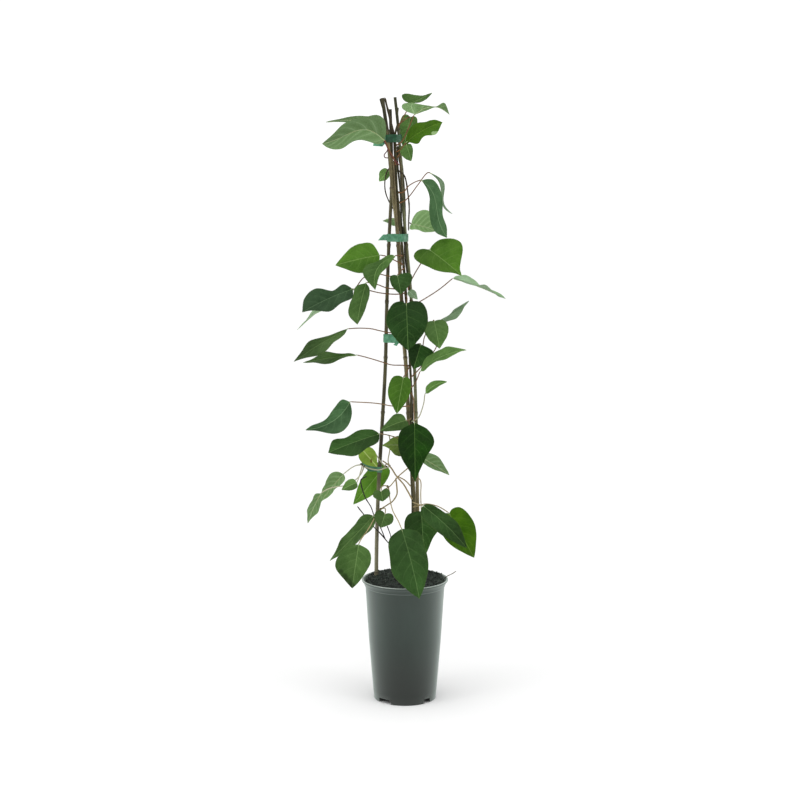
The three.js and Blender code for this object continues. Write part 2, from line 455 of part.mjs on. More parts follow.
// The soil: fills the pot, with plain holes for what stands in it
function soilGeometry(standingPieces) {
  const rings = [0.98, 0.8, 0.62, 0.44, 0.26, 0.12];
  const edge = COLLAR_RADIUS + 1;
  const profile = [
    [0, WALL + GAP],
    [PAD_RADIUS - WALL - SOIL_CLEARANCE, WALL + GAP],
    [PAD_RADIUS - SOIL_CLEARANCE, FLOOR_HEIGHT + GAP],
    [FOOT_RADIUS + 1.2 - WALL - SOIL_CLEARANCE, FLOOR_HEIGHT + GAP],
    [BELLY_RADIUS - WALL - SOIL_CLEARANCE, BELLY_HEIGHT],
    [COLLAR_RADIUS - 2.6 - SOIL_CLEARANCE, POT_HEIGHT - COLLAR_DROP - 0.6],
    [COLLAR_RADIUS - 1 - SOIL_CLEARANCE, POT_HEIGHT - LIP_DROP - 0.2],
    ...rings.map((share) => [edge * share, SOIL_EDGE_HEIGHT]),
    [0, SOIL_EDGE_HEIGHT],
  ];
  const lathe = turned(profile, SOIL_SEGMENTS);
  const places = lathe.attributes.position;
  for (let i = 0; i < places.count; i += 1) {
    if (places.getZ(i) > SOIL_EDGE_HEIGHT - 1) {
      places.setZ(i, soilHeight(places.getX(i), places.getY(i)));
    }
  }
  let soil = toSolid(lathe);
  for (const piece of standingPieces) {
    soil = soil.subtract(toSolid(piece));
  }
  return toGeometry(soil);
}

// A cane's outline from foot to top as radius and distance, with a swelling at each node
function caneProfile(length, footRadius, topRadius) {
  const radiusAt = (along) => footRadius + (topRadius - footRadius) * (along / length);
  const profile = [[footRadius, 0]];
  for (let along = NODE_SPACING / 2; along < length - NODE_TOP_GAP; along += NODE_SPACING) {
    const radius = radiusAt(along);
    profile.push([radius, along - NODE_BELOW]);
    profile.push([radius + NODE_SWELL, along]);
    profile.push([radius, along + NODE_ABOVE]);
  }
  profile.push([topRadius, length]);
  return profile;
}

// A cane's radius at a distance from its foot
function caneRadius(profile, along) {
  const next = Math.max(1, profile.findIndex(([, at]) => at >= along));
  const [[fromRadius, from], [toRadius, to]] = [profile[next - 1], profile[next]];
  return fromRadius + (toRadius - fromRadius) * ((along - from) / (to - from));
}

// A tapered cane, turned on a lathe and bent along its route
function caneGeometry(route, footRadius, topRadius, extra) {
  const curve = curveThrough(route);
  const length = curve.getLength();
  const profile = caneProfile(length, footRadius + extra, topRadius + extra);
  const outline = [[0, 0], ...profile, [0, length]].map(([r, y]) => new THREE.Vector2(r, y));
  const lathe = new THREE.LatheGeometry(outline, CANE_SIDES);
  const places = lathe.attributes.position;
  for (let i = 0; i < places.count; i += 1) {
    const share = Math.min(1, Math.max(0, places.getY(i) / length));
    const tangent = curve.getTangentAt(share);
    const right = new THREE.Vector3(1, 0, 0).addScaledVector(tangent, -tangent.x).normalize();
    const front = right.clone().cross(tangent);
    const place = curve.getPointAt(share);
    place.addScaledVector(right, places.getX(i)).addScaledVector(front, places.getZ(i));
    places.setXYZ(i, place.x, place.y, place.z);
  }
  return lathe;
}

// Half width of a blade at a share of its length, smooth through its measured stations
function halfWidth(share, half) {
  const widths = Array.isArray(half) ? half : OUTLINE.map((part) => part * half);
  const middle = OUTLINE_AT.map((at, i) => [at, widths[i]]);
  const knots = [[0, BLADE_MIN_HALF], ...middle, [1, BLADE_MIN_HALF]];
  const next = Math.max(1, knots.findIndex(([at]) => at >= share));
  const slope = (i) => {
    const [before, after] = [knots[Math.max(0, i - 1)], knots[Math.min(knots.length - 1, i + 1)]];
    return (after[1] - before[1]) / (after[0] - before[0]);
  };
  const [from, to] = [knots[next - 1], knots[next]];
  const span = to[0] - from[0];
  const t = (share - from[0]) / span;
  const blend = t * t * (3 - 2 * t);
  const start = t * (1 - t) * (1 - t) * span * slope(next - 1);
  const end = t * t * (t - 1) * span * slope(next);
  return Math.max(BLADE_MIN_HALF, from[1] + (to[1] - from[1]) * blend + start + end);
}

// How far a blade starts beyond its foot, so that it clears the end of what carries it
function footClearance(name, along) {
  const carrier = PETIOLES[name] ?? WOODY_STEMS[LEAF_TWIGS[name]][1];
  const end = vector(carrier.at(-1)).sub(vector(carrier.at(-2))).normalize();
  const lean = Math.sqrt(Math.max(0, 1 - end.dot(along) ** 2));
  return BLADE_FOOT_GAP + PETIOLE_RADIUS * lean;
}

// A place on a blade: u runs from foot to tip, v from one edge to the other
function bladeFrame(leaf, index) {
  const [name, foot, tip, face, half, twist, fold, arch, sweep, lobe, wave] = leaf;
  const along = vector(tip).sub(vector(foot)).normalize();
  const clearance = footClearance(name, along);
  const length = vector(tip).distanceTo(vector(foot)) - clearance;
  const start = vector(foot).addScaledVector(along, clearance);
  const up = vector(face).addScaledVector(along, -vector(face).dot(along)).normalize();
  const side = up.clone().cross(along);
  const crease = THREE.MathUtils.degToRad(fold);
  return (u, v) => {
    const turn = THREE.MathUtils.degToRad(twist * (u - 0.5));
    const normal = up.clone().multiplyScalar(Math.cos(turn)).addScaledVector(side, Math.sin(turn));
    const across = side.clone().multiplyScalar(Math.cos(turn)).addScaledVector(up, -Math.sin(turn));
    const bow = 4 * u * (1 - u);
    const reach = (u / LOBE_REACH) * Math.exp(1 - u / LOBE_REACH);
    const wide = halfWidth(u, v > 0 ? half[0] : half[1]) * v;
    const phase = 2 * Math.PI * WAVES * u + 1.3 * Math.sign(v) + 2.4 * index;
    const ripple = wave * v * v * bow * Math.sin(phase);
    const forward = length * (u - (v > 0 ? lobe[0] : lobe[1]) * reach * v * v);
    const sideways = wide * Math.cos(crease) + sweep[0] * bow + sweep[1] * Math.sin(2 * Math.PI * u);
    const height = Math.abs(wide) * Math.sin(crease) + arch * bow + ripple;
    const place = start.clone().addScaledVector(along, forward);
    place.addScaledVector(across, sideways).addScaledVector(normal, height);
    return [place, normal];
  };
}

// A blade of even thickness: a bent sheet, its copy behind it and a rim between them
function bladeGeometry(leaf, index) {
  const isSmall = Math.max(...leaf[4].flat()) < SMALL_HALF;
  const stations = isSmall ? SMALL_STATIONS : STATIONS;
  const across = isSmall ? 2 : 4;
  const along = stations.length - 1;
  const sheet = new THREE.PlaneGeometry(1, 1, across, along);
  const placeAt = bladeFrame(leaf, index);
  const count = sheet.attributes.position.count;
  const places = [];
  for (const sideSign of [1, -1]) {
    for (let i = 0; i < count; i += 1) {
      const u = stations[Math.floor(i / (across + 1))];
      const v = 2 * sheet.attributes.position.getX(i);
      const [place, normal] = placeAt(u, v);
      place.addScaledVector(normal, (sideSign * BLADE_THICKNESS) / 2);
      places.push(place.x, place.y, place.z);
    }
  }
  const front = Array.from(sheet.index.array);
  const faces = [...front];
  const edges = new Map();
  for (let i = 0; i < front.length; i += 3) {
    const [a, b, c] = front.slice(i, i + 3);
    faces.push(a + count, c + count, b + count);
    for (const [from, to] of [[a, b], [b, c], [c, a]]) {
      if (!edges.delete(`${to}-${from}`)) {
        edges.set(`${from}-${to}`, [from, to]);
      }
    }
  }
  for (const [from, to] of edges.values()) {
    faces.push(to, from, from + count, to, from + count, to + count);
  }
  const blade = new THREE.BufferGeometry();
  blade.setAttribute("position", new THREE.Float32BufferAttribute(places, 3));
  blade.setIndex(faces);
  blade.computeVertexNormals();
  return blade;
}

// How far along a route a height is reached, as a share of its length
function shareAtHeight(curve, height) {
  let [low, high] = [0, 1];
  for (let i = 0; i < 40; i += 1) {
    const middle = (low + high) / 2;
    if (curve.getPointAt(middle).z < height) {
      low = middle;
    } else {
      high = middle;
    }
  }
  return low;
}

// The shortest loop round a set of discs, each given as centre and radius
function loopAround(discs, clearance) {
  const points = [];
  for (const [centre, radius] of discs) {
    for (let i = 0; i < 16; i += 1) {
      const angle = (Math.PI * i) / 8;
      const reach = (radius + clearance) / Math.cos(Math.PI / 16);
      const [x, y] = [centre.x + reach * Math.cos(angle), centre.y + reach * Math.sin(angle)];
      points.push(new THREE.Vector2(x, y));
    }
  }
  points.sort((a, b) => a.x - b.x || a.y - b.y);
  const chain = (list) => {
    const hull = [];
    for (const point of list) {
      while (hull.length > 1 && turn(hull.at(-2), hull.at(-1), point) <= 0.02) {
        hull.pop();
      }
      hull.push(point);
    }
    return hull.slice(0, -1);
  };
  return [...chain(points), ...chain(points.reverse())];
}

function turn(a, b, c) {
  return (b.x - a.x) * (c.y - a.y) - (b.y - a.y) * (c.x - a.x);
}

// A tape tie: a band round the canes and stems it holds, with a loose tail
function tieGeometry(low, high, held, tailDepth, tail) {
  const discs = [];
  for (let i = 0; i <= TAPE_SAMPLES; i += 1) {
    const height = low + ((high - low) * i) / TAPE_SAMPLES;
    for (const [name, footRadius, topRadius, , route] of CANES) {
      if (held.includes(name)) {
        const curve = curveThrough(route);
        const share = shareAtHeight(curve, height);
        const profile = caneProfile(curve.getLength(), footRadius, topRadius);
        discs.push([curve.getPointAt(share), caneRadius(profile, share * curve.getLength())]);
      }
    }
    for (const [radius, route] of held.length > 1 ? [YOUNG_STEMS[0], WOODY_STEMS[0]] : []) {
      const curve = curveThrough(route);
      discs.push([curve.getPointAt(shareAtHeight(curve, height)), radius + STEM_SLACK]);
    }
  }
  const ring = new THREE.Shape(loopAround(discs, GAP + TAPE_THICKNESS));
  ring.holes.push(new THREE.Path(loopAround(discs, GAP)));
  const band = new THREE.ExtrudeGeometry(ring, { depth: high - low, bevelEnabled: false });
  band.translate(0, 0, low);
  const flap = new THREE.Shape(tail.map(([x, z]) => new THREE.Vector2(x, z)));
  const strip = new THREE.ExtrudeGeometry(flap, { depth: TAPE_THICKNESS, bevelEnabled: false });
  strip.rotateX(Math.PI / 2).translate(0, tailDepth, 0);
  return toGeometry(toSolid(band).add(toSolid(strip)));
}

const plant = new THREE.Group();

plant.add(named("pot", potGeometry(), "pot", 0.45));

const standingInSoil = [];
for (const [name, footRadius, topRadius, colour, route] of CANES) {
  plant.add(named(name, caneGeometry(route, footRadius, topRadius, 0), colour, 0.6));
  standingInSoil.push(caneGeometry(deeper(route), footRadius, topRadius, GAP));
}
for (const [radius, route] of [WOODY_STEMS[0], YOUNG_STEMS[0]]) {
  standingInSoil.push(stem(deeper(route), radius + GAP, STEM_SIDES, STEPS_PER_STEM_SPAN));
}
plant.add(named("soil", soilGeometry(standingInSoil), "soil", 0.95));

function stemSolid([radius, route]) {
  return toSolid(stem(route, radius, STEM_SIDES, STEPS_PER_STEM_SPAN));
}

const woody = WOODY_STEMS.map(stemSolid);
plant.add(named("vine_woody", toGeometry(joined(woody)), "woody", 0.8));

const young = YOUNG_STEMS.map(stemSolid);
for (const route of Object.values(PETIOLES)) {
  young.push(toSolid(stem(route, PETIOLE_RADIUS, PETIOLE_SIDES, STEPS_PER_SPAN)));
}
plant.add(named("vine_young", toGeometry(joined(young)), "young", 0.65));

for (const [name, low, high, held, tailDepth, tail] of TIES) {
  plant.add(named(name, tieGeometry(low, high, held, tailDepth, tail), "tape", 0.35));
}

LEAVES.forEach((leaf, index) => {
  plant.add(named(leaf[0], bladeGeometry(leaf, index), leaf[11], 0.5));
});

export default plant;
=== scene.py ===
import math
import random
from collections import namedtuple

import bmesh
import bpy
from mathutils import Matrix, Vector, geometry, noise


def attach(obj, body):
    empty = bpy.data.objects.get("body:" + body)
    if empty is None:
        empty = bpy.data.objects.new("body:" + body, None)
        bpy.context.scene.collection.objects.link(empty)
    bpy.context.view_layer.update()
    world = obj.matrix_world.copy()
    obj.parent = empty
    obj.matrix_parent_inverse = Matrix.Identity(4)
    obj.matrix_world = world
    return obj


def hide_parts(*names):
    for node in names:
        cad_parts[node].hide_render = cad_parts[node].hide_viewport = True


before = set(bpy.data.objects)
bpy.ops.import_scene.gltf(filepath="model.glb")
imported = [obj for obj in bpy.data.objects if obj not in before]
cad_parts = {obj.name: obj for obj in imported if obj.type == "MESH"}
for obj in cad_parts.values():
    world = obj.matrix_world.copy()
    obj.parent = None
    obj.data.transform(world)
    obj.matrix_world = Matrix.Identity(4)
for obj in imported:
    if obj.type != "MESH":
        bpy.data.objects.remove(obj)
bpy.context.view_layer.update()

bl_info = {
    "name": "Potted hardy kiwi vine",
    "version": (1, 0, 0),
    "blender": (4, 5, 0),
    "location": "3D View > Sidebar > Kiwi",
    "description": "Builds a potted hardy kiwi vine on bamboo canes and a plain studio round it",
    "category": "Add Mesh",
}

# Routes and sizes below are in millimetres, in the frame of the CAD model
MM = 0.001

# Canes: name, radius at foot, radius at top, route from its foot in the mix up
CANES = (
    ("cane_left", 3.6, 2.7, ((-43, 25, 70), (-48, 29, 150), (-50, 30, 211), (-47, 25, 346), (-40, 20,
     470), (-34, 15, 575), (-31, 10, 689), (-27, 6, 801), (-23, 4, 882), (-23, 3, 948), (-25, 2, 1016))),
    ("cane_middle", 3.7, 3, ((24, 21, 70), (20, 18, 210), (16, 14, 339), (6, 8, 494), (2, 5, 576), (-2,
     3, 628), (-6, 0, 696), (-10, -3, 764), (-14, -6, 823), (-19, -8, 865), (-24, -9, 915), (-29, -11,
     970), (-38, -12, 1034))),
    ("cane_right", 3, 2.5, ((28, 8, 70), (25, 6, 208), (22, 4, 341), (19, 4, 498), (15, 4, 610), (9, 5,
     718), (4, 6, 772), (0, 6, 814), (-4, 7, 865), (-8, 8, 940), (-12, 8, 990), (-17, 8, 1036))),
)

# Woody stems: radius and route
WOODY_STEMS = (
    (2.1, ((8, 26, 150), (9, 25, 210), (12, 22, 268), (14, 21, 330), (15, 19, 384), (16, 16, 428), (13,
     12, 472), (12, 12, 515), (10, 9, 558), (8, 3, 601), (5, 2, 644), (2, 4, 690), (-1, 5, 730), (-4, 5,
     772), (-7, 6, 806), (-12, 4, 840), (-14, 3, 873), (-16, 2, 902), (-17, 2, 932), (-18, 0, 957), (-20,
     -4, 978), (-24, -6, 995), (-28, -7, 1011), (-34, -6, 1035))),
    (1.3, ((-15, 2, 915), (-8, 0, 912), (-1, 2, 905), (5, 6, 874), (7, 6, 852), (6, 6, 828), (6,
     5, 813))),
    (1.2, ((-17, 2, 936), (-19, 8, 928), (-25, 12, 920), (-31, 12, 911), (-34, 11, 897), (-34, 10, 884),
     (-32, 10, 874), (-27, 11, 862), (-20, 11, 850), (-12, 4, 838))),
    (1.1, ((-16, 2, 903), (-19, 10, 909), (-23, 15, 914), (-26, 16, 915))),
    (1.1, ((-12, 4, 834), (-14, 12, 834), (-16, 20, 833))),
    (1.1, ((6, 5, 827), (8, 10, 826), (10, 16, 825))),
    (1, ((-83, 14, 337), (-69, 14, 319), (-52, 13, 298), (-43, 13, 289), (-29, 14, 272), (-14, 16, 254),
     (-2, 19, 240), (11, 23, 231))),
    (1, ((-66, 12, 390), (-76, 12, 384), (-76, 12, 376), (-69, 12, 353), (-59, 12, 336), (-54, 12, 322),
     (-42, 13, 298), (-34, 14, 278))),
    (0.9, ((-31, 14, 302), (-28, 14, 294), (-25, 14, 285), (-23, 15, 265))),
)

# Young stems: radius and route
YOUNG_STEMS = (
    (1.9, ((10, -2, 150), (10, -2, 200), (10, -4, 246), (12, -6, 299), (13, -7, 343), (11, -8, 387), (10,
     -8, 431), (10, -8, 474), (10, -8, 512), (10, -8, 552), (8, -8, 591), (6, -8, 629), (3, -8, 666), (2,
     -8, 705), (-1, -8, 744), (-4, -9, 781), (-8, -10, 818), (-11, -8, 857), (-14, -6, 890), (-15, -6,
     923), (-16, -6, 952), (-16, -6, 978), (-12, -6, 992))),
    (1.3, ((13, -8, 352), (4, -10, 369), (-3, -12, 381), (-15, -12, 395), (-21, -8, 404), (-26, 2, 409),
     (-34, 12, 414), (-39, 19, 416))),
    (1.1, ((11, -8, 375), (-1, -12, 388), (-15, -12, 395))),
    (1.2, ((-16, -12, 392), (-14, -8, 375), (-14, -2, 361), (-21, 4, 348), (-31, 8, 340), (-43, 8, 332),
     (-50, 6, 326))),
    (1, ((10, -8, 412), (1, -12, 405), (-11, -14, 395), (-27, -6, 375), (-36, 2, 369))),
    (1, ((-26, 2, 409), (-29, 2, 418), (-26, 0, 440), (-27, -6, 463), (-31, -16, 467))),
    (1.1, ((-26, 2, 409), (-33, 0, 407), (-46, -4, 404), (-67, -6, 409), (-77, -8, 416))),
)

# Fine strands wound into the bundle of canes: radius, how dark and route
STRANDS = (
    (1.1, 1, ((-42, -12, 1033), (-39, -13, 1022), (-35, -14, 1009), (-31, -14, 996), (-28, -13, 980),
     (-26, -12, 961), (-24, -11, 942))),
    (1.6, 0.6, ((-12, 10, 1019), (-13, 10, 1010), (-12, 11, 998), (-11, 11, 980), (-9, 11, 957),
     (-6, 11, 932), (-3, 10, 902), (-1, 9, 872), (0, 9, 845), (1, 8, 811), (4, 7, 784))),
    (1.5, 0, ((-23, -8, 938), (-20, -9, 925), (-18, -10, 900), (-16, -11, 870), (-14, -10, 840),
     (-11, -9, 810), (-8, -7, 781), (-6, -5, 754))),
    (1.6, 1, ((-14, 4, 948), (-13, 2, 928), (-11, 1, 908), (-8, 1, 878), (-7, 2, 852), (-6, 3, 825),
     (-4, 4, 798))),
    (1.9, 0.3, ((-13, 9, 955), (-10, 6, 937), (-7, 3, 918), (-6, 3, 898), (-5, 5, 880), (-4, 7, 856))),
    (1.5, 1, ((-4, 2, 821), (-1, 1, 794), (0, 1, 772), (2, 0, 754), (5, 0, 730), (8, 2, 703))),
    (1.5, 0, ((17, 0, 436), (19, 0, 400), (20, 0, 360), (20, 1, 320), (21, 2, 280), (22, 4, 211))),
)

# The small red loop near the top of the bundle, and the dead twig on the pot's rim: radius and route
RED_STRANDS = (
    (0.9, ((-28, -10, 954), (-30, -12, 947), (-35, -12, 940), (-34, -11, 936), (-28, -9, 935),
     (-24, -7, 934))),
    (1.3, ((-37, -20, 967), (-30, -18, 954), (-23, -15, 939), (-16, -12, 930), (-10, -9, 923))),
)
RIM_TWIG = (0.8, ((69, 12, 209), (72, 8, 213), (78, 5, 217), (83, 3, 220), (89, 0, 225)))

# Where the larger grains of perlite lie
LARGE_PERLITE = ((49, 52, 213), (-44, 10, 208), (43, -5, 206))

# Leaves that end a woody twig and have no stalk: the twig's place in the list of woody stems
LEAF_TWIGS = {"leaf_08": 3, "leaf_09": 4, "leaf_10": 5}

# Leaves: name, route of the stalk from a young stem up to the foot of the blade, that foot, tip, way
# the upper face looks, half widths of both sides, fold in degrees, arch and sweep of the midrib,
# lobes as shares of the length, wave, tone, and how the leaf's lightness departs from its tone: left
# half, right half, and tip against foot. That lightness is partly the leaf's own and partly painted
# light and shade, with one half or the tip lighter or darker as light or shade falls on it
Leaf = namedtuple("Leaf", "name stalk foot tip face half fold arch sweep lobe wave tone tint")
LEAVES = [Leaf(*row) for row in (
    ("leaf_01", ((-15, -6, 922), (-20, -16, 937), (-26, -22, 947)), (-34, -24, 965), (-136, -70, 958),
     (0, 0.8, 0.6), ((27, 25, 23, 9), (25, 27, 29, 15)), 8, 14, (9, 8), (0.08, 0.08),
     3, "pale", (1, 0.75, 1)),
    ("leaf_02", ((-15, -6, 918), (-19, -2, 926), (-27, -2, 945), (-35, 8, 970)), (-41, 16, 997),
     (-135, 55, 996), (0.1, 0.9, 0.5), ((6, 6, 5, 2), (10, 14, 7, 2)), 8, 6, (0, 0), (0.08, 0.08),
     2, "pale", (0.8, 0.8, 1)),
    ("leaf_03", ((-13, -6, 985), (-7, -4, 995), (1, 2, 1010), (8, 1, 1020)), (9, -4, 1025),
     (45, 4, 1043), (0, -1, 0.3), ((19, 10, 3, 1), (2, 6, 6, 3)), 10, 0, (0, 0), (0.33, 0),
     1, "mid", (1.05, 1.05, 1)),
    ("leaf_04", ((-16, -6, 955), (-5, -12, 963), (5, -14, 983)), (15, -14, 1007), (74, -4, 1007),
     (0, 0.9, 0.3), ((3.5, 5, 0.8, 0.8), (12, 3.5, 0.8, 12)), 8, 0, (-13.5, 0), (0, 0.48),
     1, "pale", (0.95, 0.95, 0.6)),
    ("leaf_05", ((-16, -6, 945), (-9, -12, 948), (-3, -18, 955)), (2, -20, 961), (61, -52, 993),
     (0, -0.8, 0.6), ((12, 16, 14, 9), (6, 22, 19, 22)), 12, 6, (0, 0), (0.04, 0.04),
     3, "fresh", (0.86, 0.8, 1.3)),
    ("leaf_06", ((-12, -6, 990), (-4, 0, 996), (4, 16, 1002)), (9, 22, 1004), (-2, 28, 952),
     (0, -1, 0.2), ((12, 14, 12, 5), (13, 15, 13, 6)), 10, 4, (0, 0), (0.15, 0.15),
     2, "mid", (1.7, 1.6, 1)),
    ("leaf_07", ((-15, -6, 935), (-9, -6, 942), (-5, 1, 950), (-1, 5, 957)), (2, 2, 958), (10, -6, 930),
     (0.1, -1, 0.1), ((7, 8, 6, 3), (10, 14, 13, 8)), 10, 3, (0, 0), (0.1, 0.1), 1, "mid", (1.4, 1.4, 1)),
    ("leaf_08", (), (-26, 16, 915), (-44, 26, 896), (0, -1, 0.5), (10, 10), 12, 2, (0, 0), (0.05, 0.05),
     1, "fresh", (1.8, 1.8, 1)),
    ("leaf_09", (), (-16, 20, 833), (-38, 34, 829), (0, 0.9, 0.4), ((1, 1.5, 1, 0.6), (12, 16, 13, 5)),
     10, 2, (0, 0), (0.05, 0.05), 1, "pale", (1, 1, 1)),
    ("leaf_10", (), (10, 16, 825), (55, 46, 811), (0, 0.95, 0.3), ((11, 10, 10, 5), (20, 29, 24, 10)),
     8, 4, (0, 0), (0.05, 0.08), 2, "pale", (1.25, 1.45, 0.8)),
    ("leaf_11", ((-12, -6, 877), (-2, -14, 879), (5, -18, 888), (16, -20, 895)), (27, -20, 899),
     (69, -52, 804), (-0.3, -0.95, 0.1), ((14, 14, 10, 10), (4, 8, 14, 12)), 15, 4, (6, 5),
     (0.03, 0.03), 4, "blue", (1.35, 1.45, 1)),
    ("leaf_12", ((-11, -8, 860), (-2, -5, 863), (6, -3, 870), (22, 0, 891), (37, 2, 910)), (42, 2, 911),
     (80, 20, 841), (-0.3, -0.9, 0.2), ((2, 4, 2, 1.5), (2, 4, 2, 1.5)), 10, 2, (2.5, 7.5), (0, 0),
     1, "blue", (0.75, 0.75, 1)),
    ("leaf_13", ((-2, -8, 756), (-9, -12, 760), (-19, -13, 765), (-32, -12, 771)), (-42, -10, 773),
     (-116, -46, 758), (0, -0.95, 0.3), ((14, 26, 24, 11), (21, 25, 21, 9)), 8, 5, (0, 0), (0.02, 0.02),
     2, "fresh", (1.2, 1, 0.8)),
    ("leaf_14", ((-4, -9, 771), (-8, -18, 773), (-12, -24, 773)), (-17, -26, 773), (-50, -58, 718),
     (-0.2, -0.95, 0.1), ((8, 13, 9.5, 5.5), (4, 6.5, 20, 20)), 15, 3, (-14, 0), (0.06, 0.06),
     2, "mid", (1.16, 1.32, 0.8)),
    ("leaf_15", ((1, -8, 717), (-15, -14, 716), (-31, -16, 718), (-46, -24, 724)), (-65, -34, 729),
     (-80, -56, 660), (-0.35, -0.93, 0), ((9, 14, 12, 6), (14, 16, 18, 15)), 15, 4, (0, 0), (0, 0),
     2, "mid", (1.1, 0.95, 0.75)),
    ("leaf_16", ((2, -8, 709), (-14, -12, 707), (-40, -14, 709), (-63, -16, 714)), (-88, -22, 717),
     (-172, -48, 680), (0, -0.75, 0.65), ((20, 22, 26, 8), (14, 10, 26, 20)), 10, 4, (0, 0),
     (0.02, 0.02), 2, "blue", (0.76, 0.76, 0.6)),
    ("leaf_17", ((0, -8, 734), (-15, -10, 736), (-31, -8, 738), (-49, -2, 741), (-69, 2, 735)),
     (-85, 4, 715), (-186, 36, 642), (0.1, 0.1, 1), ((8, 12, 8, 2), (10, 14, 6, 2)), 15, 6, (0, 0),
     (0.03, 0.03), 3, "pale", (1.3, 1.3, 1)),
    ("leaf_18", ((5, -8, 647), (-12, -12, 643), (-26, -14, 642), (-41, -16, 645), (-58, -18, 649),
     (-78, -18, 650)), (-97, -18, 649), (-186, -58, 598), (-0.2, -0.55, 0.8), ((12, 22, 30, 12),
     (2, 9, 15, 6)), 12, 3, (0, 0), (0, 0.02), 2, "mid", (0.7, 0.8, 0.45)),
    ("leaf_19", ((8, -8, 584), (-3, -12, 586), (-23, -14, 587), (-37, -12, 591), (-65, -8, 599)),
     (-82, -6, 603), (-173, -14, 591), (0, -0.5, 0.87), ((3, 11, 22, 8), (6, 6, 16, 3)), 12, 2, (0, 0),
     (0, 0), 2, "mid", (1, 1, 0.75)),
    ("leaf_20", ((2, -8, 722), (10, -12, 731), (18, -14, 745), (27, -16, 760), (35, -24, 775)),
     (40, -34, 784), (94, -48, 741), (0.1, -1, 0.25), ((25, 40, 36, 8), (28, 25, 17, 5)), 6, 4, (0, 0),
     (0.08, 0.3), 2, "fresh", (0.8, 1.05, 1.3)),
    ("leaf_21", ((3, -8, 677), (15, -12, 689), (31, -12, 698), (59, -10, 716)), (81, -8, 734),
     (172, 18, 697), (0.2, -0.15, 1), ((15, 18, 14, 6), (15, 18, 14, 6)), 12, 3, (0, 0), (0.03, 0.03),
     5, "pale", (0.9, 1.3, 1)),
    ("leaf_22", ((-1, -8, 751), (-6, -20, 748), (-10, -30, 744)), (-13, -34, 741), (-7, -44, 709),
     (0.05, -1, 0.2), ((20, 23, 17, 7), (12, 14, 11, 5)), 6, 3, (0, 0), (0.14, 0.14),
     1, "deep", (0.96, 0.96, 0.9)),
    ("leaf_23", ((2, -8, 704), (3, -24, 702), (3, -36, 697)), (2, -40, 694), (5, -62, 617),
     (0, -1, 0.2), ((27, 35, 30, 14), (23, 35, 29, 14)), 6, 6, (0, 0), (0.12, 0.12),
     2, "dark", (1.1, 1, 1.7)),
    ("leaf_24", ((7, -8, 600), (17, -10, 605), (28, -8, 612), (33, -8, 634), (42, -6, 652),
     (48, -8, 662)), (49, -16, 663), (58, -34, 617), (0.1, -1, 0.3), (21, 21), 8, 3, (0, 0),
     (0.08, 0.08), 2, "mid", (1.2, 1.3, 1.6)),
    ("leaf_25", ((9, -8, 564), (20, -12, 575), (37, -10, 595), (53, -4, 616), (56, 0, 637)),
     (56, 2, 655), (109, 12, 694), (0.3, -0.5, 0.8), ((3, 1, 0.8, 1.5), (7, 16, 13, 5.5)),
     15, 2, (0, 0), (0, 0), 3, "pale", (0.84, 0.84, 1.2)),
    ("leaf_26", ((6, -8, 613), (13, -6, 618), (22, -6, 622)), (27, -14, 623), (14, -26, 581),
     (0.1, -1, 0.2), ((21, 27, 20, 8), (14, 18, 14, 6)), 8, 2, (0, 0), (0.04, 0.04),
     3, "dark", (0.75, 1.6, 1.1)),
    ("leaf_27", ((10, -8, 547), (16, -22, 555), (21, -32, 567)), (25, -36, 578.5), (102, -60, 617.5),
     (-0.2, -0.5, 0.85), ((12, 19, 16, 7), (12, 16, 13, 5)), 12, 9, (0, 0), (0, 0),
     3, "mid", (1.5, 1.5, 1)),
    ("leaf_28", ((10, -8, 488), (23, -10, 496), (28, -10, 507), (32, -9, 521)), (34, -8, 537),
     (71, -20, 559), (0, -0.85, 0.5), ((7, 8, 7, 3.5), (5, 6, 5.5, 3)), 10, 4, (3, 0), (0, 0),
     1, "fresh", (2.2, 2.3, 0.7)),
    ("leaf_29", ((8, -8, 584), (3, -22, 577), (0, -30, 572)), (-3, -32, 568), (-14, -46, 508),
     (0, -1, 0.1), ((12, 16, 13, 6), (17, 22, 19, 8)), 10, 4, (0, 0), (0.1, 0.1),
     2, "fresh", (0.97, 0.97, 1)),
    ("leaf_30", ((10, -8, 495), (8, -16, 493), (6, -20, 493)), (2, -22, 493), (-42, -42, 478),
     (0, -0.85, 0.55), ((12, 15, 13, 6), (12, 15, 10, 4)), 8, 4, (0, 0), (0.08, 0.08),
     2, "mid", (1.15, 0.85, 0.8)),
    ("leaf_31", ((10, -8, 540), (14, -16, 530), (15, -26, 511)), (16, -32, 491), (17, -60, 394),
     (0, -1, 0.15), ((22, 33, 19, 6.5), (22, 28.5, 23, 8)), 8, 6, (0, 0), (0, 0),
     2, "dark", (0.75, 1.1, 1.1)),
    ("leaf_32", ((10, -8, 439), (15, -6, 436), (22, -6, 430)), (27, -6, 427), (76, -14, 397),
     (0, 0.95, 0.3), ((8, 9, 7, 3), (11, 15, 12, 5)), 8, 3, (0, 0), (0.06, 0.06),
     2, "pale", (0.9, 0.9, 1)),
    ("leaf_33", ((10, -8, 450), (9, -5, 449), (7, -3, 447)), (4, -3, 446), (-39, -14, 448),
     (0, 0.9, 0.4), ((20, 17, 12, 5), (24, 24, 12, 4)), 8, 3, (0, 0), (0.08, 0.08),
     2, "olive", (0.7, 0.85, 2.2)),
    ("leaf_34", ((10, -8, 516), (-9, -12, 515), (-26, -14, 517), (-40, -16, 520), (-56, -16, 522),
     (-74, -16, 523)), (-93, -16, 524), (-168, -46, 480), (0, -0.85, 0.5), ((15, 26, 24, 6),
     (16, 16, 8, 7)), 12, 4, (14, 0), (0.01, 0.01), 1.5, "blue", (1.6, 1.1, 0.8)),
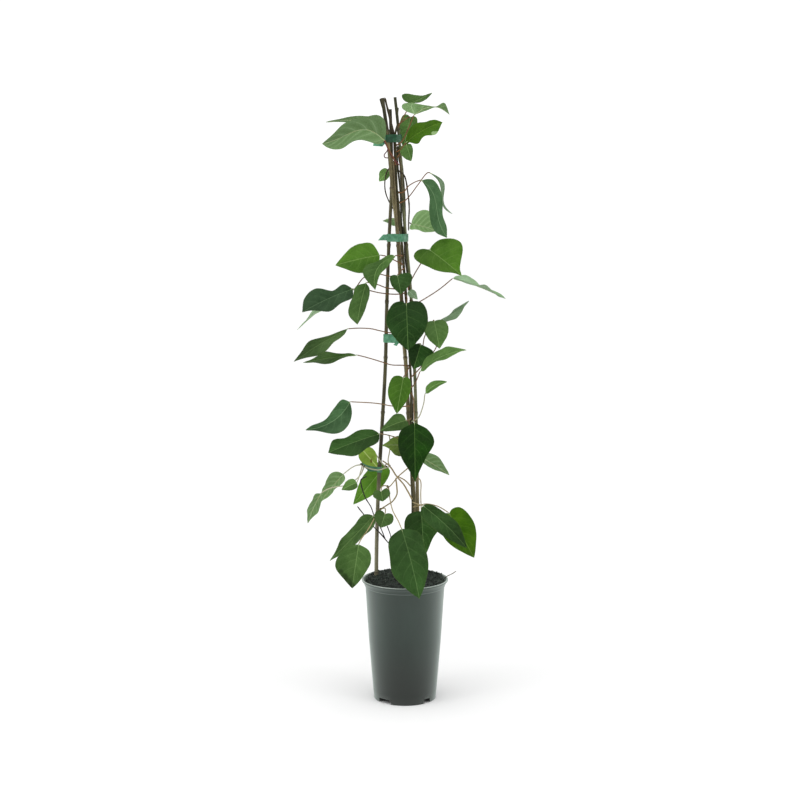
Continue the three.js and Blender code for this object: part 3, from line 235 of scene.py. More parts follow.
    ("leaf_35", ((10, -8, 453), (-3, -12, 457), (-18, -14, 463), (-31, -16, 467)), (-43, -16, 469),
     (-130, -44, 441), (0, -0.85, 0.5), ((15, 19, 26, 12), (11, 16, 13, 16)), 10, 4, (0, 0),
     (0.02, 0.02), 2, "deep", (1.25, 0.84, 1.1)),
    ("leaf_36", ((-31, 0, 407), (-41, 4, 416), (-57, 9, 438), (-70, 10, 444)), (-74, 2, 439),
     (-48, -2, 409), (0, -1, 0.2), (15, 15), 10, 2, (0, 0), (0.06, 0.06), 1, "olive", (1.4, 1.4, 0.9)),
    ("leaf_37", ((-74, -8, 414), (-84, -6, 412), (-94, -2, 406)), (-106, 0, 396), (-144, -8, 350),
     (-0.3, 0.8, 0.5), (17, 17), 15, 3, (0, 0), (0.05, 0.05), 3, "pale", (1.45, 1.1, 1)),
    ("leaf_38", ((-70, -7, 411), (-76, -8, 397), (-88, -14, 386), (-102, -21, 380), (-117, -27, 379),
     (-131, -28, 375.5)), (-144, -25, 367.5), (-166, -41, 318.5), (-0.3, 0.8, 0.5), ((8, 9, 7, 4),
     (12, 16, 13, 6)), 15, 3, (0, 0), (0.04, 0.04), 3, "pale", (1.1, 0.9, 0.9)),
    ("leaf_39", ((-73, -7, 413), (-76, -14, 403), (-79, -22, 394)), (-82, -24, 386), (-108, -34, 375),
     (0, -0.9, 0.4), (10, 10), 10, 2, (0, 0), (0.06, 0.06), 1, "mid", (1.8, 1.15, 0.8)),
    ("leaf_40", ((-26, 2, 409), (-28, 14, 410), (-32, 32, 408)), (-35, 40, 403), (-90, 34, 336),
     (0, -1, 0.1), (19, 19), 10, 4, (0, 0), (0.1, 0.1), 2, "fresh", (1.75, 1.75, 0.8)),
    ("leaf_41", ((1, -8, 722), (4, -13, 721), (5, -16, 718)), (5, -16, 714), (21, -20, 699),
     (0, -0.9, 0.4), (7, 7), 10, 1, (0, 0), (0.02, 0.02), 1, "pale", (1, 1, 1)),
    ("leaf_42", ((-29, -4, 374), (-34, -6, 377), (-40, -7, 375)), (-41, -14, 369), (-38, -20, 352),
     (0, -1, 0.2), (15, 15), 8, 1, (0, 0), (0.3, 0.3), 1, "mid", (1, 0.95, 1.1)),
    ("leaf_43", ((-43, 8, 332), (-38, 4, 335), (-34, -4, 336)), (-34, -14, 329.5), (-42, -22, 306.5),
     (0, -1, 0.2), (17, 17), 8, 2, (0, 0), (0.25, 0.25), 1, "mid", (0.8, 1, 0.85)),
    ("leaf_44", ((-48, 6, 327), (-50, 2, 326), (-52, -2, 325)), (-54, -4, 324), (-129, -36, 252),
     (-0.4, -0.7, 0.6), ((16.7, 22, 18, 8), (14, 16, 12, 4)), 15, 4, (4, 0), (0.03, 0.03),
     4, "blue", (1.02, 0.95, 0.95)),
    ("leaf_45", ((-50, 6, 326), (-52, -14, 323), (-59, -34, 313), (-66, -41, 303), (-75, -45, 291)),
     (-79, -44, 283), (-90, -62, 210), (0, -1, 0.15), ((19, 25, 19, 9), (20, 32, 33, 14)), 8, 4, (0, 0),
     (0.02, 0.02), 2, "mid", (1, 1.1, 0.75)),
    ("leaf_46", ((-29, -4, 374), (-27, -8, 366), (-26, -18, 357), (-21, -34, 339), (-11, -46, 322)),
     (-6, -50, 311), (24, -92, 200), (0, -1, 0.15), ((25, 29, 27, 13), (25, 33, 35, 17)), 8, 6, (2, 0),
     (0.02, 0.02), 2, "deep", (0.85, 1, 1.3)),
    ("leaf_47", ((11, -8, 392), (24, -12, 390), (27, -13, 385), (27, -14, 362)), (28, -14, 334),
     (33, -30, 257), (0, -1, 0.15), ((24, 31, 17, 7), (24, 31, 25, 11)), 8, 4, (0, 0), (0.06, 0.06),
     2, "deep", (1.03, 1.7, 1.6)),
    ("leaf_48", ((13, -8, 349), (19, -18, 348), (26, -30, 348)), (30, -34, 348), (105, -52, 278),
     (-0.3, -0.8, 0.5), ((10, 15, 17, 8), (16, 20, 17, 8)), 18, 5, (3, 0), (0.04, 0.04),
     4, "blue", (0.95, 0.85, 0.6)),
    ("leaf_49", ((13, -8, 340), (24, -12, 343), (34, -12, 346), (44, -10, 345), (59, -8, 340)),
     (76, -6, 329), (119, -22, 254), (0.1, -1, 0.15), (29, 29), 8, 4, (0, 0), (0.12, 0.12),
     2, "bright", (0.9, 1, 0.8)),
)]

# Ties: name, bottom height, top height, canes held, and the loose tail's depth and outline
TIES = (
    ("tie_1", 961, 974, ("cane_left", "cane_middle", "cane_right"), -5, ((-30.9, 962), (-30.9, 972),
     (-38, 966), (-52, 963), (-54, 955), (-38, 954))),
    ("tie_2", 795, 808, ("cane_left", "cane_middle", "cane_right"), 4, ((-30.8, 797), (-30.8, 807), (-37,
     807), (-46, 797))),
    ("tie_3", 623, 637, ("cane_left", "cane_middle", "cane_right"), -3, ((-16, 624), (-10, 634), (-8,
     628), (-14, 618), (-20, 620))),
    ("tie_4", 395, 405, ("cane_left",), 20.5, ((-48.3, 397), (-48.3, 404), (-60, 407), (-74, 416), (-76,
     409), (-62, 397))),
)

# Arches in the pot's skirt: middle angle from the front, width in degrees, height
ARCHES = (
    (-41, 28, 8),
    (45, 16, 8),
    (-120, 26, 8),
    (120, 26, 8),
    (180, 26, 8),
)

# Leaf tones: upper face, darker patches, veins, underside, veins of the underside
TONES = {
    "fresh": ((76, 116, 33), (50, 88, 16), (126, 158, 86), (108, 146, 84), (146, 176, 124)),
    "bright": ((68, 109, 5), (42, 80, 1), (118, 154, 60), (106, 142, 76), (146, 176, 120)),
    "mid": ((76, 107, 53), (46, 75, 28), (118, 148, 88), (116, 144, 92), (148, 172, 126)),
    "deep": ((50, 83, 35), (27, 52, 14), (104, 136, 80), (100, 134, 82), (140, 164, 120)),
    "dark": ((31, 62, 20), (13, 36, 4), (96, 128, 70), (94, 128, 76), (134, 158, 114)),
    "blue": ((61, 91, 57), (33, 61, 31), (108, 138, 98), (102, 134, 94), (138, 164, 124)),
    "pale": ((108, 140, 84), (82, 112, 60), (138, 164, 114), (112, 144, 94), (150, 176, 130)),
    "olive": ((130, 160, 62), (100, 126, 44), (160, 176, 104), (96, 122, 60), (136, 158, 96)),
    "lush": ((24, 66, 1), (9, 35, 0), (84, 122, 56), (94, 128, 76), (134, 158, 114)),
    "silver": ((134, 162, 126), (104, 136, 92), (176, 200, 170), (134, 160, 124), (176, 198, 168)),
}

# Leaves whose look departs from the tone of their CAD colour
LOOKS_AS = {
    "leaf_05": "bright", "leaf_08": "mid", "leaf_12": "silver", "leaf_17": "silver", "leaf_21": "silver",
    "leaf_25": "silver", "leaf_28": "mid", "leaf_31": "lush", "leaf_41": "silver", "leaf_44": "mid",
    "leaf_48": "deep",
}

# Spots on leaves, and patches of painted shade, as seen from the front: x, z, radius, and 1 for brown,
# -1 for pale or 0 for painted shade
SPOTS_AND_PAINTED_SHADE = {
    "leaf_05": ((46, 975, 3, -1), (50, 975, 3, -1), (54, 975, 3, -1)),
    "leaf_45": ((-109, 239, 4, 0), (-103, 230, 6, 0), (-97, 221, 7, 0), (-91, 213, 7, 0)),
    "leaf_36": ((-58, 421, 1.8, 0.8), (-58, 418, 1.6, 1), (-56, 426, 2.4, 0.4)),
}

# Tones whose midrib is wide and pale
BOLD_MIDRIB = {"olive": 1.6}

# The outline that a single half width stands for: shares of it, at shares of the length
OUTLINE_AT = (0.12, 0.35, 0.6, 0.85)
OUTLINE = (0.76, 1, 0.81, 0.35)
MIN_HALF = 0.4

# How far up a blade its lobes reach, how often it waves, its pairs of side veins, how steeply
# they rise and how far one side's are ahead of the other's
LOBE_REACH = 0.09
WAVES = 1.5
VEIN_PAIRS = 6
VEIN_RISE = 0.36
VEIN_OFFSET = 0.35

# How far apart the rows and columns of a blade's mesh lie, and the steps of its rib
ROW_GAP = 1.15
COLUMN_GAP = 1.6
RIB_STEPS = 24

# The gap between a stalk and its blade, and a stalk's radius
FOOT_GAP = 0.5
STALK_RADIUS = 1.1

# Young stems that look dark, 1, or pale, -1, by their place in the list, and stalks that look pale
STEM_MARKS = {0: 1.0, 5: -0.5, 6: -0.9}
PALE_STALKS = {"leaf_28", "leaf_32", "leaf_36", "leaf_37", "leaf_38", "leaf_39"}
PALE_STALK = -0.9

# Pot: radius under the rim band, height and radii half way up, height and lean of the skirt, the
# degrees over which an arch's side rises, and the drain holes
COLLAR_RADIUS = 69.5
MIDDLE_HEIGHT = 107
MIDDLE_OUTSIDE = 62.9
MIDDLE_INSIDE = 60.9
SKIRT_HEIGHT = 17
SKIRT_LEAN = 1.6
ARCH_SIDE = 2.2
DRAIN_HOLES = 6
DRAIN_REACH = 30
DRAIN_RADIUS = 5
DRAIN_DEPTH = 13
DRAIN_MIDDLE = 12

# Potting mix: height at the wall, rise to the middle and to the back, radius and rings of its
# surface, how far its crumbs reach, and how many crumbs there are
MIX_TOP = 207
MIX_CROWN = 6
MIX_BACK = 7
MIX_REACH = 68.4
MIX_RINGS = 30
CRUMB_REACH = 66
CRUMBS = 1300
SMALL_PERLITE = 9
HEAPED_CRUMBS = 150

# Cane nodes: height of the first above the cane's foot, and how far apart they are
FIRST_NODE = 48
NODE_GAP = 96

# Ties: how dark the tape of each is, where a tail turns pale, the tape's rows and thickness
TIE_SHADES = {"tie_1": 0.9, "tie_2": 0.36, "tie_3": 0, "tie_4": 0.5}
PALE_TAIL = {"tie_1": -33}
TAPE_ROWS = 6
TAPE_THICKNESS = 0.5

# Steps to a span where a route is followed closely
FINE_STEPS = 60

# Studio, in metres: where the camera stands and looks, the photograph's size and focal length in
# pixels, the camera's sensor in millimetres, the floor and the lights
EYE = (-0.0086, -2.9, 0.927)
AIM = (-0.0086, 0.0, 0.5248)
PICTURE = 800
FOCAL = 1710
SENSOR = 36.0
FLOOR_HALF = 40
SIDE_LIGHT = (1.9, -1.2, 1.0)
SIDE_LIGHT_SIZE = (0.7, 2.2)
SIDE_LIGHT_AIM = (0, 0, 0.5)
TOP_LIGHT_FROM = (-0.12, -0.4, 1.0)
TOP_LIGHT_SPREAD = 80
DIM_FROM = (0, -1, -0.25)
WHITE = (1, 1, 1, 1)


def shade(red, green, blue):
    """A screen colour of 0 to 255 a channel as the linear colour that Blender works in."""
    linear = []
    for channel in (red, green, blue):
        part = channel / 255
        linear.append(part / 12.92 if part <= 0.04045 else ((part + 0.055) / 1.055) ** 2.4)
    return (*linear, 1.0)


def smooth_step(low, high, value):
    """0 at low, 1 at high and beyond, smooth in between."""
    part = min(1.0, max(0.0, (value - low) / (high - low)))
    return part * part * (3 - 2 * part)


class Value:
    """A number socket that Python's own arithmetic builds on."""

    def __init__(self, look, socket):
        self.look = look
        self.socket = socket

    def maths(self, operation, *others, swap=False):
        values = [self, *others]
        if swap:
            values.reverse()
        node = self.look.node("ShaderNodeMath", {"operation": operation}, dict(enumerate(values)))
        return Value(self.look, node.outputs[0])

    def __add__(self, other):
        return self.maths("ADD", other)

    __radd__ = __add__

    def __sub__(self, other):
        return self.maths("SUBTRACT", other)

    def __rsub__(self, other):
        return self.maths("SUBTRACT", other, swap=True)

    def __mul__(self, other):
        return self.maths("MULTIPLY", other)

    __rmul__ = __mul__

    def __truediv__(self, other):
        return self.maths("DIVIDE", other)

    def __rtruediv__(self, other):
        return self.maths("DIVIDE", other, swap=True)

    def __abs__(self):
        return self.maths("ABSOLUTE")

    def fract(self):
        return self.maths("FRACT")

    def above(self, low, high):
        """0 at low, 1 at high and beyond, smooth in between."""
        settings = {"interpolation_type": "SMOOTHSTEP"}
        inputs = {"Value": self, "From Min": low, "From Max": high}
        return Value(self.look, self.look.node("ShaderNodeMapRange", settings, inputs).outputs[0])

    def below(self, low, high):
        return 1 - self.above(low, high)


class Nodes:
    """A node tree under construction."""

    def __init__(self, tree):
        self.tree = tree

    def node(self, kind, settings=None, inputs=None):
        """A new node with its settings made, and then its sockets fed."""
        made = self.tree.nodes.new(kind)
        for key, value in (settings or {}).items():
            setattr(made, key, value)
        for key, value in (inputs or {}).items():
            self.feed(made.inputs[key], value)
        return made

    def feed(self, socket, value):
        """Links a value to a socket, or sets a constant on it."""
        if isinstance(value, Value):
            value = value.socket
        if isinstance(value, bpy.types.NodeSocket):
            self.tree.links.new(value, socket)
        else:
            socket.default_value = value


class Look(Nodes):
    """A material under construction, with one principled shader."""

    def __init__(self, name):
        self.material = bpy.data.materials.new(name)
        self.material.use_nodes = True
        super().__init__(self.material.node_tree)
        self.shader = next(n for n in self.tree.nodes if n.type == "BSDF_PRINCIPLED")
        self.place = self.node("ShaderNodeTexCoord").outputs["Object"]

    def noise(self, scale, detail=2.0, place=None, roughness=0.5):
        inputs = {"Vector": place or self.place, "Scale": scale, "Detail": detail, "Roughness": roughness}
        return Value(self, self.node("ShaderNodeTexNoise", None, inputs).outputs["Fac"])

    def cells(self, scale, feature="F1"):
        inputs = {"Vector": self.place, "Scale": scale}
        node = self.node("ShaderNodeTexVoronoi", {"feature": feature}, inputs)
        return Value(self, node.outputs["Distance"])

    def upright(self, squeeze):
        """The object's place squeezed along its upright axis, which draws a pattern out along it."""
        inputs = {"Vector": self.place, "Scale": (1.0, 1.0, squeeze)}
        return self.node("ShaderNodeMapping", None, inputs).outputs[0]

    def axes(self, vector):
        node = self.node("ShaderNodeSeparateXYZ", None, {"Vector": vector})
        return [Value(self, socket) for socket in node.outputs]

    def mix(self, factor, low, high):
        node = self.node("ShaderNodeMix", {"data_type": "RGBA"}, {0: factor, 6: low, 7: high})
        return node.outputs[2]

    def layered(self, colour, *layers):
        """A colour with others laid over it in turn, each where its mask is."""
        for mask, over in layers:
            colour = self.mix(mask, colour, over)
        return colour

    def scaled(self, colour, factor):
        node = self.node("ShaderNodeVectorMath", {"operation": "SCALE"}, {0: colour, "Scale": factor})
        return node.outputs[0]

    def attribute(self, name, output="Fac"):
        """What the mesh holds under a name."""
        return Value(self, self.node("ShaderNodeAttribute", {"attribute_name": name}).outputs[output])

    def bump(self, height, strength, distance):
        inputs = {"Height": height, "Strength": strength, "Distance": distance}
        return self.node("ShaderNodeBump", None, inputs).outputs[0]

    def done(self, **inputs):
        """The material, with its shader fed."""
        for key, value in inputs.items():
            self.feed(self.shader.inputs[key.replace("_", " ")], value)
        return self.material


# Shapes shared by the pieces

def curve_places(points, per_span):
    """Places along the smooth curve through points, and the last point."""
    knots = [Vector(point) for point in points]
    knots = [2 * knots[0] - knots[1], *knots, 2 * knots[-1] - knots[-2]]
    places = []
    for i in range(len(points) - 1):
        a, b, c, d = knots[i:i + 4]
        k0, k1, k2 = (max((q - p).length, 1e-6) ** 0.5 for p, q in ((a, b), (b, c), (c, d)))
        leave = ((b - a) / k0 - (c - a) / (k0 + k1) + (c - b) / k1) * k1
        reach = ((c - b) / k1 - (d - b) / (k1 + k2) + (d - c) / k2) * k1
        for step in range(per_span):
            t = step / per_span
            square = (3 * (c - b) - 2 * leave - reach) * t * t
            cube = (2 * (b - c) + leave + reach) * t ** 3
            places.append(b + leave * t + square + cube)
    return [*places, knots[-2]]


def frames_along(places):
    """A frame at each place: its third axis runs along the route."""
    frames = []
    right = None
    for i, place in enumerate(places):
        along = (places[min(i + 1, len(places) - 1)] - places[max(i - 1, 0)]).normalized()
        right = right or along.orthogonal()
        right = (right - along * right.dot(along)).normalized()
        axes = Matrix((right, along.cross(right), along)).transposed()
        frames.append(Matrix.Translation(place) @ axes.to_4x4())
    return frames


def extruded(form, edges):
    """The verts and edges of the next ring, extruded from the edges of the last."""
    made = bmesh.ops.extrude_edge_only(form, edges=edges)["geom"]
    ring = [item for item in made if isinstance(item, bmesh.types.BMVert)]
    edges = [e for e in made if isinstance(e, bmesh.types.BMEdge) and all(v in ring for v in e.verts)]
    return ring, edges


def tube(places, radii, sides, marks):
    """A closed round stem, extruded ring by ring from a capped circle, with a mark on each ring."""
    form = bmesh.new()
    layer = form.verts.layers.float.new("mark")
    frames = [at @ Matrix.Diagonal((r, r, r, 1)) for at, r in zip(frames_along(places), radii)]
    made = bmesh.ops.create_circle(form, cap_ends=True, segments=sides, radius=1, matrix=frames[0])
    ring, edges = made["verts"], form.edges[:]
    for i, mark in enumerate(marks):
        if i:
            ring, edges = extruded(form, edges)
            bmesh.ops.transform(form, matrix=frames[i] @ frames[i - 1].inverted(), verts=ring)
        for vert in ring:
            vert[layer] = mark
    bmesh.ops.contextual_create(form, geom=edges)
    bmesh.ops.recalc_face_normals(form, faces=form.faces)
    return form


def mesh_of(name, form):
    """The mesh of a form, which is freed."""
    mesh = bpy.data.meshes.new(name)
    form.to_mesh(mesh)
    form.free()
    return mesh


def in_scene(name, data):
    """A new object of the scene that shows a mesh, a light or a camera."""
    made = bpy.data.objects.new(name, data)
    bpy.context.scene.collection.objects.link(made)
    return made


def gathered(forms):
    """One form that holds all the others, which are freed."""
    whole = bmesh.new()
    for form in forms:
        mesh = mesh_of("part", form)
        whole.from_mesh(mesh)
        bpy.data.meshes.remove(mesh)
    return whole


def turned(profile, steps):
    """A profile of radius and height spun round the upright axis."""
    form = bmesh.new()
    verts = [form.verts.new((radius, 0, height)) for radius, height in profile]
    edges = [form.edges.new(pair) for pair in zip(verts, verts[1:])]
    bmesh.ops.spin(form, geom=verts + edges, axis=(0, 0, 1), cent=(0, 0, 0), steps=steps,
                   angle=2 * math.pi, use_merge=True)
    bmesh.ops.remove_doubles(form, verts=form.verts, dist=0.001)
    bmesh.ops.recalc_face_normals(form, faces=form.faces)
    return form


def placed(name, form, looks, nodes, sharp=60):
    """The finished piece of a form in millimetres, riding on the body and standing for its nodes."""
    bmesh.ops.scale(form, vec=(MM, MM, MM), verts=form.verts)
    mesh = mesh_of(name, form)
    for look in looks:
        mesh.materials.append(look)
    mesh.shade_smooth()
    mesh.set_sharp_from_angle(angle=math.radians(sharp))
    piece = in_scene(name, mesh)
    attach(piece, "root")
    if nodes:
        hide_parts(*nodes)
    return piece


def rounded_radii(places, radii, reach):
    """The radii with both ends drawn in over a reach, so that a stem ends in a soft dome."""
    ends = []
    for place, radius in zip(places, radii):
        near = min((place - places[0]).length, (place - places[-1]).length)
        share = min(1.0, near / reach)
        ends.append(radius * max(0.25, math.sqrt(1 - (1 - share) ** 2)))
    return ends


# Pot

def pot_look(settings):
    """Dull dark plastic, darker towards the foot, with scuffs, a painted highlight on the lip and a pale
    step at the band.
    """
    look = Look("pot plastic")
    grain = look.noise(900.0, 3.0)
    scuffs = look.noise(16.0, 4.0, look.upright(0.3), 0.55)
    height = look.axes(look.place)[2]
    low = height.below(0.01, 0.15)
    # Painted highlight: a pale line along the top of the lip
    lip_highlight = height.above(0.2105, 0.2117)
    step = height.above(0.1992, 0.1996) * height.below(0.2, 0.2006)
    colour = look.layered(settings.pot_colour, (scuffs.above(0.4, 0.75), settings.pot_scuff),
                          (low * 0.9, settings.pot_low), (lip_highlight * 0.75, shade(176, 186, 178)),
                          (step * 0.4, shade(120, 130, 124)))
    rough = 0.34 + 0.1 * scuffs + 0.04 * grain
    return look.done(Base_Color=colour, Roughness=rough, Normal=look.bump(grain, 0.1, 0.0002),
                     Specular_IOR_Level=0.4, Sheen_Weight=0.62, Sheen_Roughness=0.5,
                     Sheen_Tint=(0.86, 1.0, 0.93, 1.0))


def arch_height(angle):
    """How high the skirt is cut at an angle from the front, in degrees."""
    for middle, width, height in ARCHES:
        off = abs((angle - middle + 180) % 360 - 180)
        inside = width / 2 + 1 - off
        if inside > 0:
            return height * min(1.0, inside / ARCH_SIDE) ** 0.6
    return 0


def pot_form(settings):
    """The pot's wall, floor and skirt in one spun profile, with the arches raised in the skirt."""
    rim, foot = settings.rim_radius / MM, settings.foot_radius / MM
    collar, top = COLLAR_RADIUS, settings.pot_height / MM
    profile = [
        # The middle foot and the floor from below
        (0, 0), (13.4, 0), (14, 0.4), (15.8, 10.4), (16.4, 11), (foot - 2.6, 11), (foot - 2.2, 10.4),
        # The skirt
        (foot - 2.4, 0.4), (foot - 2, 0), (foot - 0.4, 0), (foot, 0.5), (foot + SKIRT_LEAN, SKIRT_HEIGHT),
        # The wall and the rim band outside
        (MIDDLE_OUTSIDE, MIDDLE_HEIGHT), (collar - 0.9, top - 12.9), (collar - 0.6, top - 12.4),
        (collar - 0.05, top - 12.1), (collar + 0.2, top - 11.5), (collar + 1.3, top - 8),
        (rim - 1.1, top - 3.7), (rim - 0.25, top - 2.6), (rim, top - 1.7), (rim - 0.15, top - 0.6),
        # Over the rim and down inside
        (rim - 0.7, top), (rim - 2.3, top), (rim - 2.9, top - 0.5), (collar - 1, top - 8),
        (collar - 2.6, top - 12.5), (MIDDLE_INSIDE, MIDDLE_HEIGHT), (foot - 0.6, 13.6), (foot - 1.2, 13),
        # The floor from above
        (14.6, 13), (13.8, 12.4), (12.4, 2.5), (11.8, 2), (0, 2),
    ]
    form = turned(profile, 180)
    for vert in form.verts:
        reach = math.hypot(vert.co.x, vert.co.y)
        if reach > foot - 5 and vert.co.z < 1:
            raised = arch_height(math.degrees(math.atan2(vert.co.x, -vert.co.y)))
            if raised:
                vert.co.z += raised
                lean = raised * SKIRT_LEAN / SKIRT_HEIGHT
                vert.co.x += vert.co.x / reach * lean
                vert.co.y += vert.co.y / reach * lean
    return form


# Potting mix

def soil_look():
    """Dark peat with paler lumps and grains."""
    look = Look("potting mix")
    grains = look.noise(420.0, 6.0, roughness=0.7)
    lumps = look.noise(90.0, 4.0)
    chips = look.cells(260.0)
    colour = look.layered(shade(32, 39, 34), (lumps.above(0.35, 0.7), shade(62, 72, 65)),
                          (grains.above(0.52, 0.72) * 0.7, shade(96, 98, 90)))
    return look.done(Base_Color=colour, Roughness=0.95, Normal=look.bump(grains + chips, 0.9, 0.0012))


def perlite_look():
    """White, and a little uneven."""
    look = Look("perlite")
    colour = look.mix(look.noise(500.0, 3.0), shade(232, 230, 224), shade(206, 203, 194))
    return look.done(Base_Color=colour, Roughness=0.9)


def soil_height(x, y):
    """The height of the mix: crowned, higher at the back, and a little uneven."""
    share = min(1.0, math.hypot(x, y) / COLLAR_RADIUS)
    crown = MIX_TOP + MIX_CROWN * (1 - share * share)
    rise = MIX_BACK * share * max(0.0, y / COLLAR_RADIUS)
    coarse = 1.1 * math.sin(0.31 * x + 1.2) * math.cos(0.27 * y)
    fine = 0.7 * math.sin(0.53 * y - 0.4 * x)
    return crown + rise + coarse + fine


def soil_form():
    """The mix as it fills the pot, with a crumbly surface."""
    below = [(0, 2.4), (11.3, 2.4), (13.3, 13.4), (52.4, 13.4), (60.1, MIDDLE_HEIGHT), (66.1, 199.4),
             (67.7, 203.6)]
    surface = [(MIX_REACH * (1 - i / MIX_RINGS), MIX_TOP) for i in range(MIX_RINGS)]
    form = turned([*below, *surface, (0, MIX_TOP)], 120)
    for vert in form.verts:
        if vert.co.z > MIX_TOP - 1:
            x, y = vert.co.x, vert.co.y
            lumps = noise.fractal(Vector((x, y, 0)) * 0.16, 1.0, 2.0, 5)
            edge = smooth_step(69, 64, math.hypot(x, y))
            vert.co.z = soil_height(x, y) + 1.6 * lumps * edge
    return form


def crumb(place, size, draws):
    """One crumb of mix: a small ball pushed out of round."""
    form = bmesh.new()
    bmesh.ops.create_icosphere(form, subdivisions=1, radius=size)
    for vert in form.verts:
        vert.co *= draws.uniform(0.7, 1.25)
    turn = Matrix.Rotation(draws.uniform(0, math.pi), 4, Vector((draws.random(), draws.random(), 1)))
    bmesh.ops.transform(form, matrix=Matrix.Translation(place) @ turn, verts=form.verts)
    return form


def crumbs(count, low, high, draws):
    """Crumbs strewn over the mix, sunk in a little."""
    forms = []
    for _ in range(count):
        reach, angle = CRUMB_REACH * math.sqrt(draws.random()), draws.uniform(0, 2 * math.pi)
        x, y = reach * math.cos(angle), reach * math.sin(angle)
        size = draws.uniform(low, high)
        forms.append(crumb(Vector((x, y, soil_height(x, y) + 0.4 * size)), size, draws))
    return forms


def heaped_crumbs(draws):
    """Crumbs heaped along the wall at the back."""
    forms = []
    for _ in range(HEAPED_CRUMBS):
        reach, angle = draws.uniform(63, 71), math.radians(draws.uniform(25, 155))
        size = draws.uniform(0.8, 1.9)
        height = draws.uniform(210.5, 213.6)
        place = Vector((reach * math.cos(angle), reach * math.sin(angle), height))
        forms.append(crumb(place, size, draws))
    return forms


# Canes

def cane_look(name, *colours):
    """Bamboo skin from four screen colours: light, dark, spots, and the foot's own tone with painted
    light.
    """
    light, dark, spot, foot_tone_and_painted_light = (shade(*colour) for colour in colours)
    look = Look(name)
    blotch = look.noise(55.0, 4.0, look.upright(0.35), 0.6)
    fibre = look.noise(900.0, 3.0, look.upright(0.08))
    spots = look.noise(160.0, 3.0, look.upright(0.4), 0.7)
    ring = look.attribute("mark")
    height = look.axes(look.place)[2]
    # Painted light: towards the foot the cane turns to a colour that is partly its own tone and partly
    # the light on the lower cane
    low = height.below(0.26, 0.46)
    light = look.mix(low, light, foot_tone_and_painted_light)
    dark = look.mix(low * 0.7, dark, foot_tone_and_painted_light)
    colour = look.layered(light, (blotch.above(0.4, 0.62), dark), (spots.above(0.58, 0.7) * 0.7, spot),
                          (ring.above(0.2, 0.9) * 0.75, shade(70, 58, 44)),
                          (height.above(0.955, 1.0) * 0.75, shade(34, 34, 20)))
    rough = 0.42 + 0.2 * blotch
    return look.done(Base_Color=colour, Roughness=rough, Specular_IOR_Level=0.3,
                     Normal=look.bump(fibre, 0.25, 0.0003))


def cane_form(route, foot_radius, top_radius):
    """A cane with a ridge and a scar at every node, and rings close together only there."""
    fine = curve_places(route, FINE_STEPS)
    length = sum((b - a).length for a, b in zip(fine, fine[1:]))
    nodes = range(FIRST_NODE, math.ceil(length - 12), NODE_GAP)
    places, radii, marks = [], [], []
    along = step = 0.0
    last = fine[0]
    for place in fine:
        walked = (place - last).length
        along += walked
        step += walked
        last = place
        off = min((along - node for node in nodes), key=abs)
        if places and step < (0.8 if abs(off) < 7 else 4.0) and place is not fine[-1]:
            continue
        step = 0.0
        swell = 0.75 * math.exp(-((off + 0.5) / 2.2) ** 2) + 0.45 * math.exp(-((off - 1.6) / 0.9) ** 2)
        scar = 0.45 * math.exp(-((off - 3) / 0.8) ** 2)
        radius = foot_radius + (top_radius - foot_radius) * along / length
        places.append(place)
        radii.append(radius + 0.8 * (swell - scar))
        marks.append(math.exp(-((off - 1.8) / 1.8) ** 2))
    return tube(places, radii, 16, marks)


# Stems

def stem_look(name, *colours):
    """Bark from four screen colours: at the foot, higher up, patches, and where it is marked dark."""
    low, high, patch, dark = (shade(*colour) for colour in colours)
    look = Look(name)
    height = look.axes(look.place)[2]
    blotch = look.noise(70.0, 4.0, look.upright(0.4), 0.6)
    fine = look.noise(700.0, 3.0, look.upright(0.2))
    mark = look.attribute("mark")
    rise = height.above(0.3, 0.62)
    colour = look.layered(low, (rise, high), (blotch.above(0.45, 0.65) * (0.2 + 0.4 * rise), patch),
                          (mark, dark), (0 - mark, shade(178, 178, 150)))
    return look.done(Base_Color=colour, Roughness=0.48 + 0.2 * blotch, Specular_IOR_Level=0.25,
                     Normal=look.bump(fine, 0.3, 0.0003))


def stem_forms(stems, draws, rough, sides=10, per_span=8):
    """Tapered stems with a slight wobble, from rows of radius, mark and route."""
    forms = []
    for radius, mark, route in stems:
        places = curve_places(route, per_span)
        seed = draws.uniform(0, 90)
        radii = []
        for i, place in enumerate(places):
            wobble = noise.noise(Vector((seed, place.z * 0.11, place.x * 0.11)))
            taper = 1.08 - 0.2 * i / len(places)
            radii.append(radius * taper * (1 + rough * wobble))
        radii = rounded_radii(places, radii, radius)
        forms.append(tube(places, radii, sides, [mark] * len(places)))
    return forms


def bud(place, along, size):
    """A blunt bud where a stalk leaves its stem."""
    form = bmesh.new()
    mark = form.verts.layers.float.new("mark")
    bmesh.ops.create_icosphere(form, subdivisions=2, radius=size)
    turn = along.to_track_quat("Z", "Y").to_matrix().to_4x4()
    stretch = Matrix.Diagonal((1, 1, 1.4, 1))
    bmesh.ops.transform(form, matrix=Matrix.Translation(place) @ turn @ stretch, verts=form.verts)
    for vert in form.verts:
        vert[mark] = 1.0
    return form


def stalk_forms(leaf):
    """A leaf's stalk, thicker where it leaves its stem, and the bud there."""
    places = curve_places((*leaf.stalk, leaf.foot), 8)
    mark = PALE_STALK if leaf.name in PALE_STALKS else 0.0
    radii = [STALK_RADIUS * (0.82 + 0.5 * math.exp(-i / 5)) for i in range(len(places))]
    stalk = tube(places, rounded_radii(places, radii, 0.8), 10, [mark] * len(places))
    along = (places[3] - places[0]).normalized()
    return [stalk, bud(places[0] + Vector((0, 0, 1.2)) + 1.2 * along, along, 1.5)]


# Leaf blades

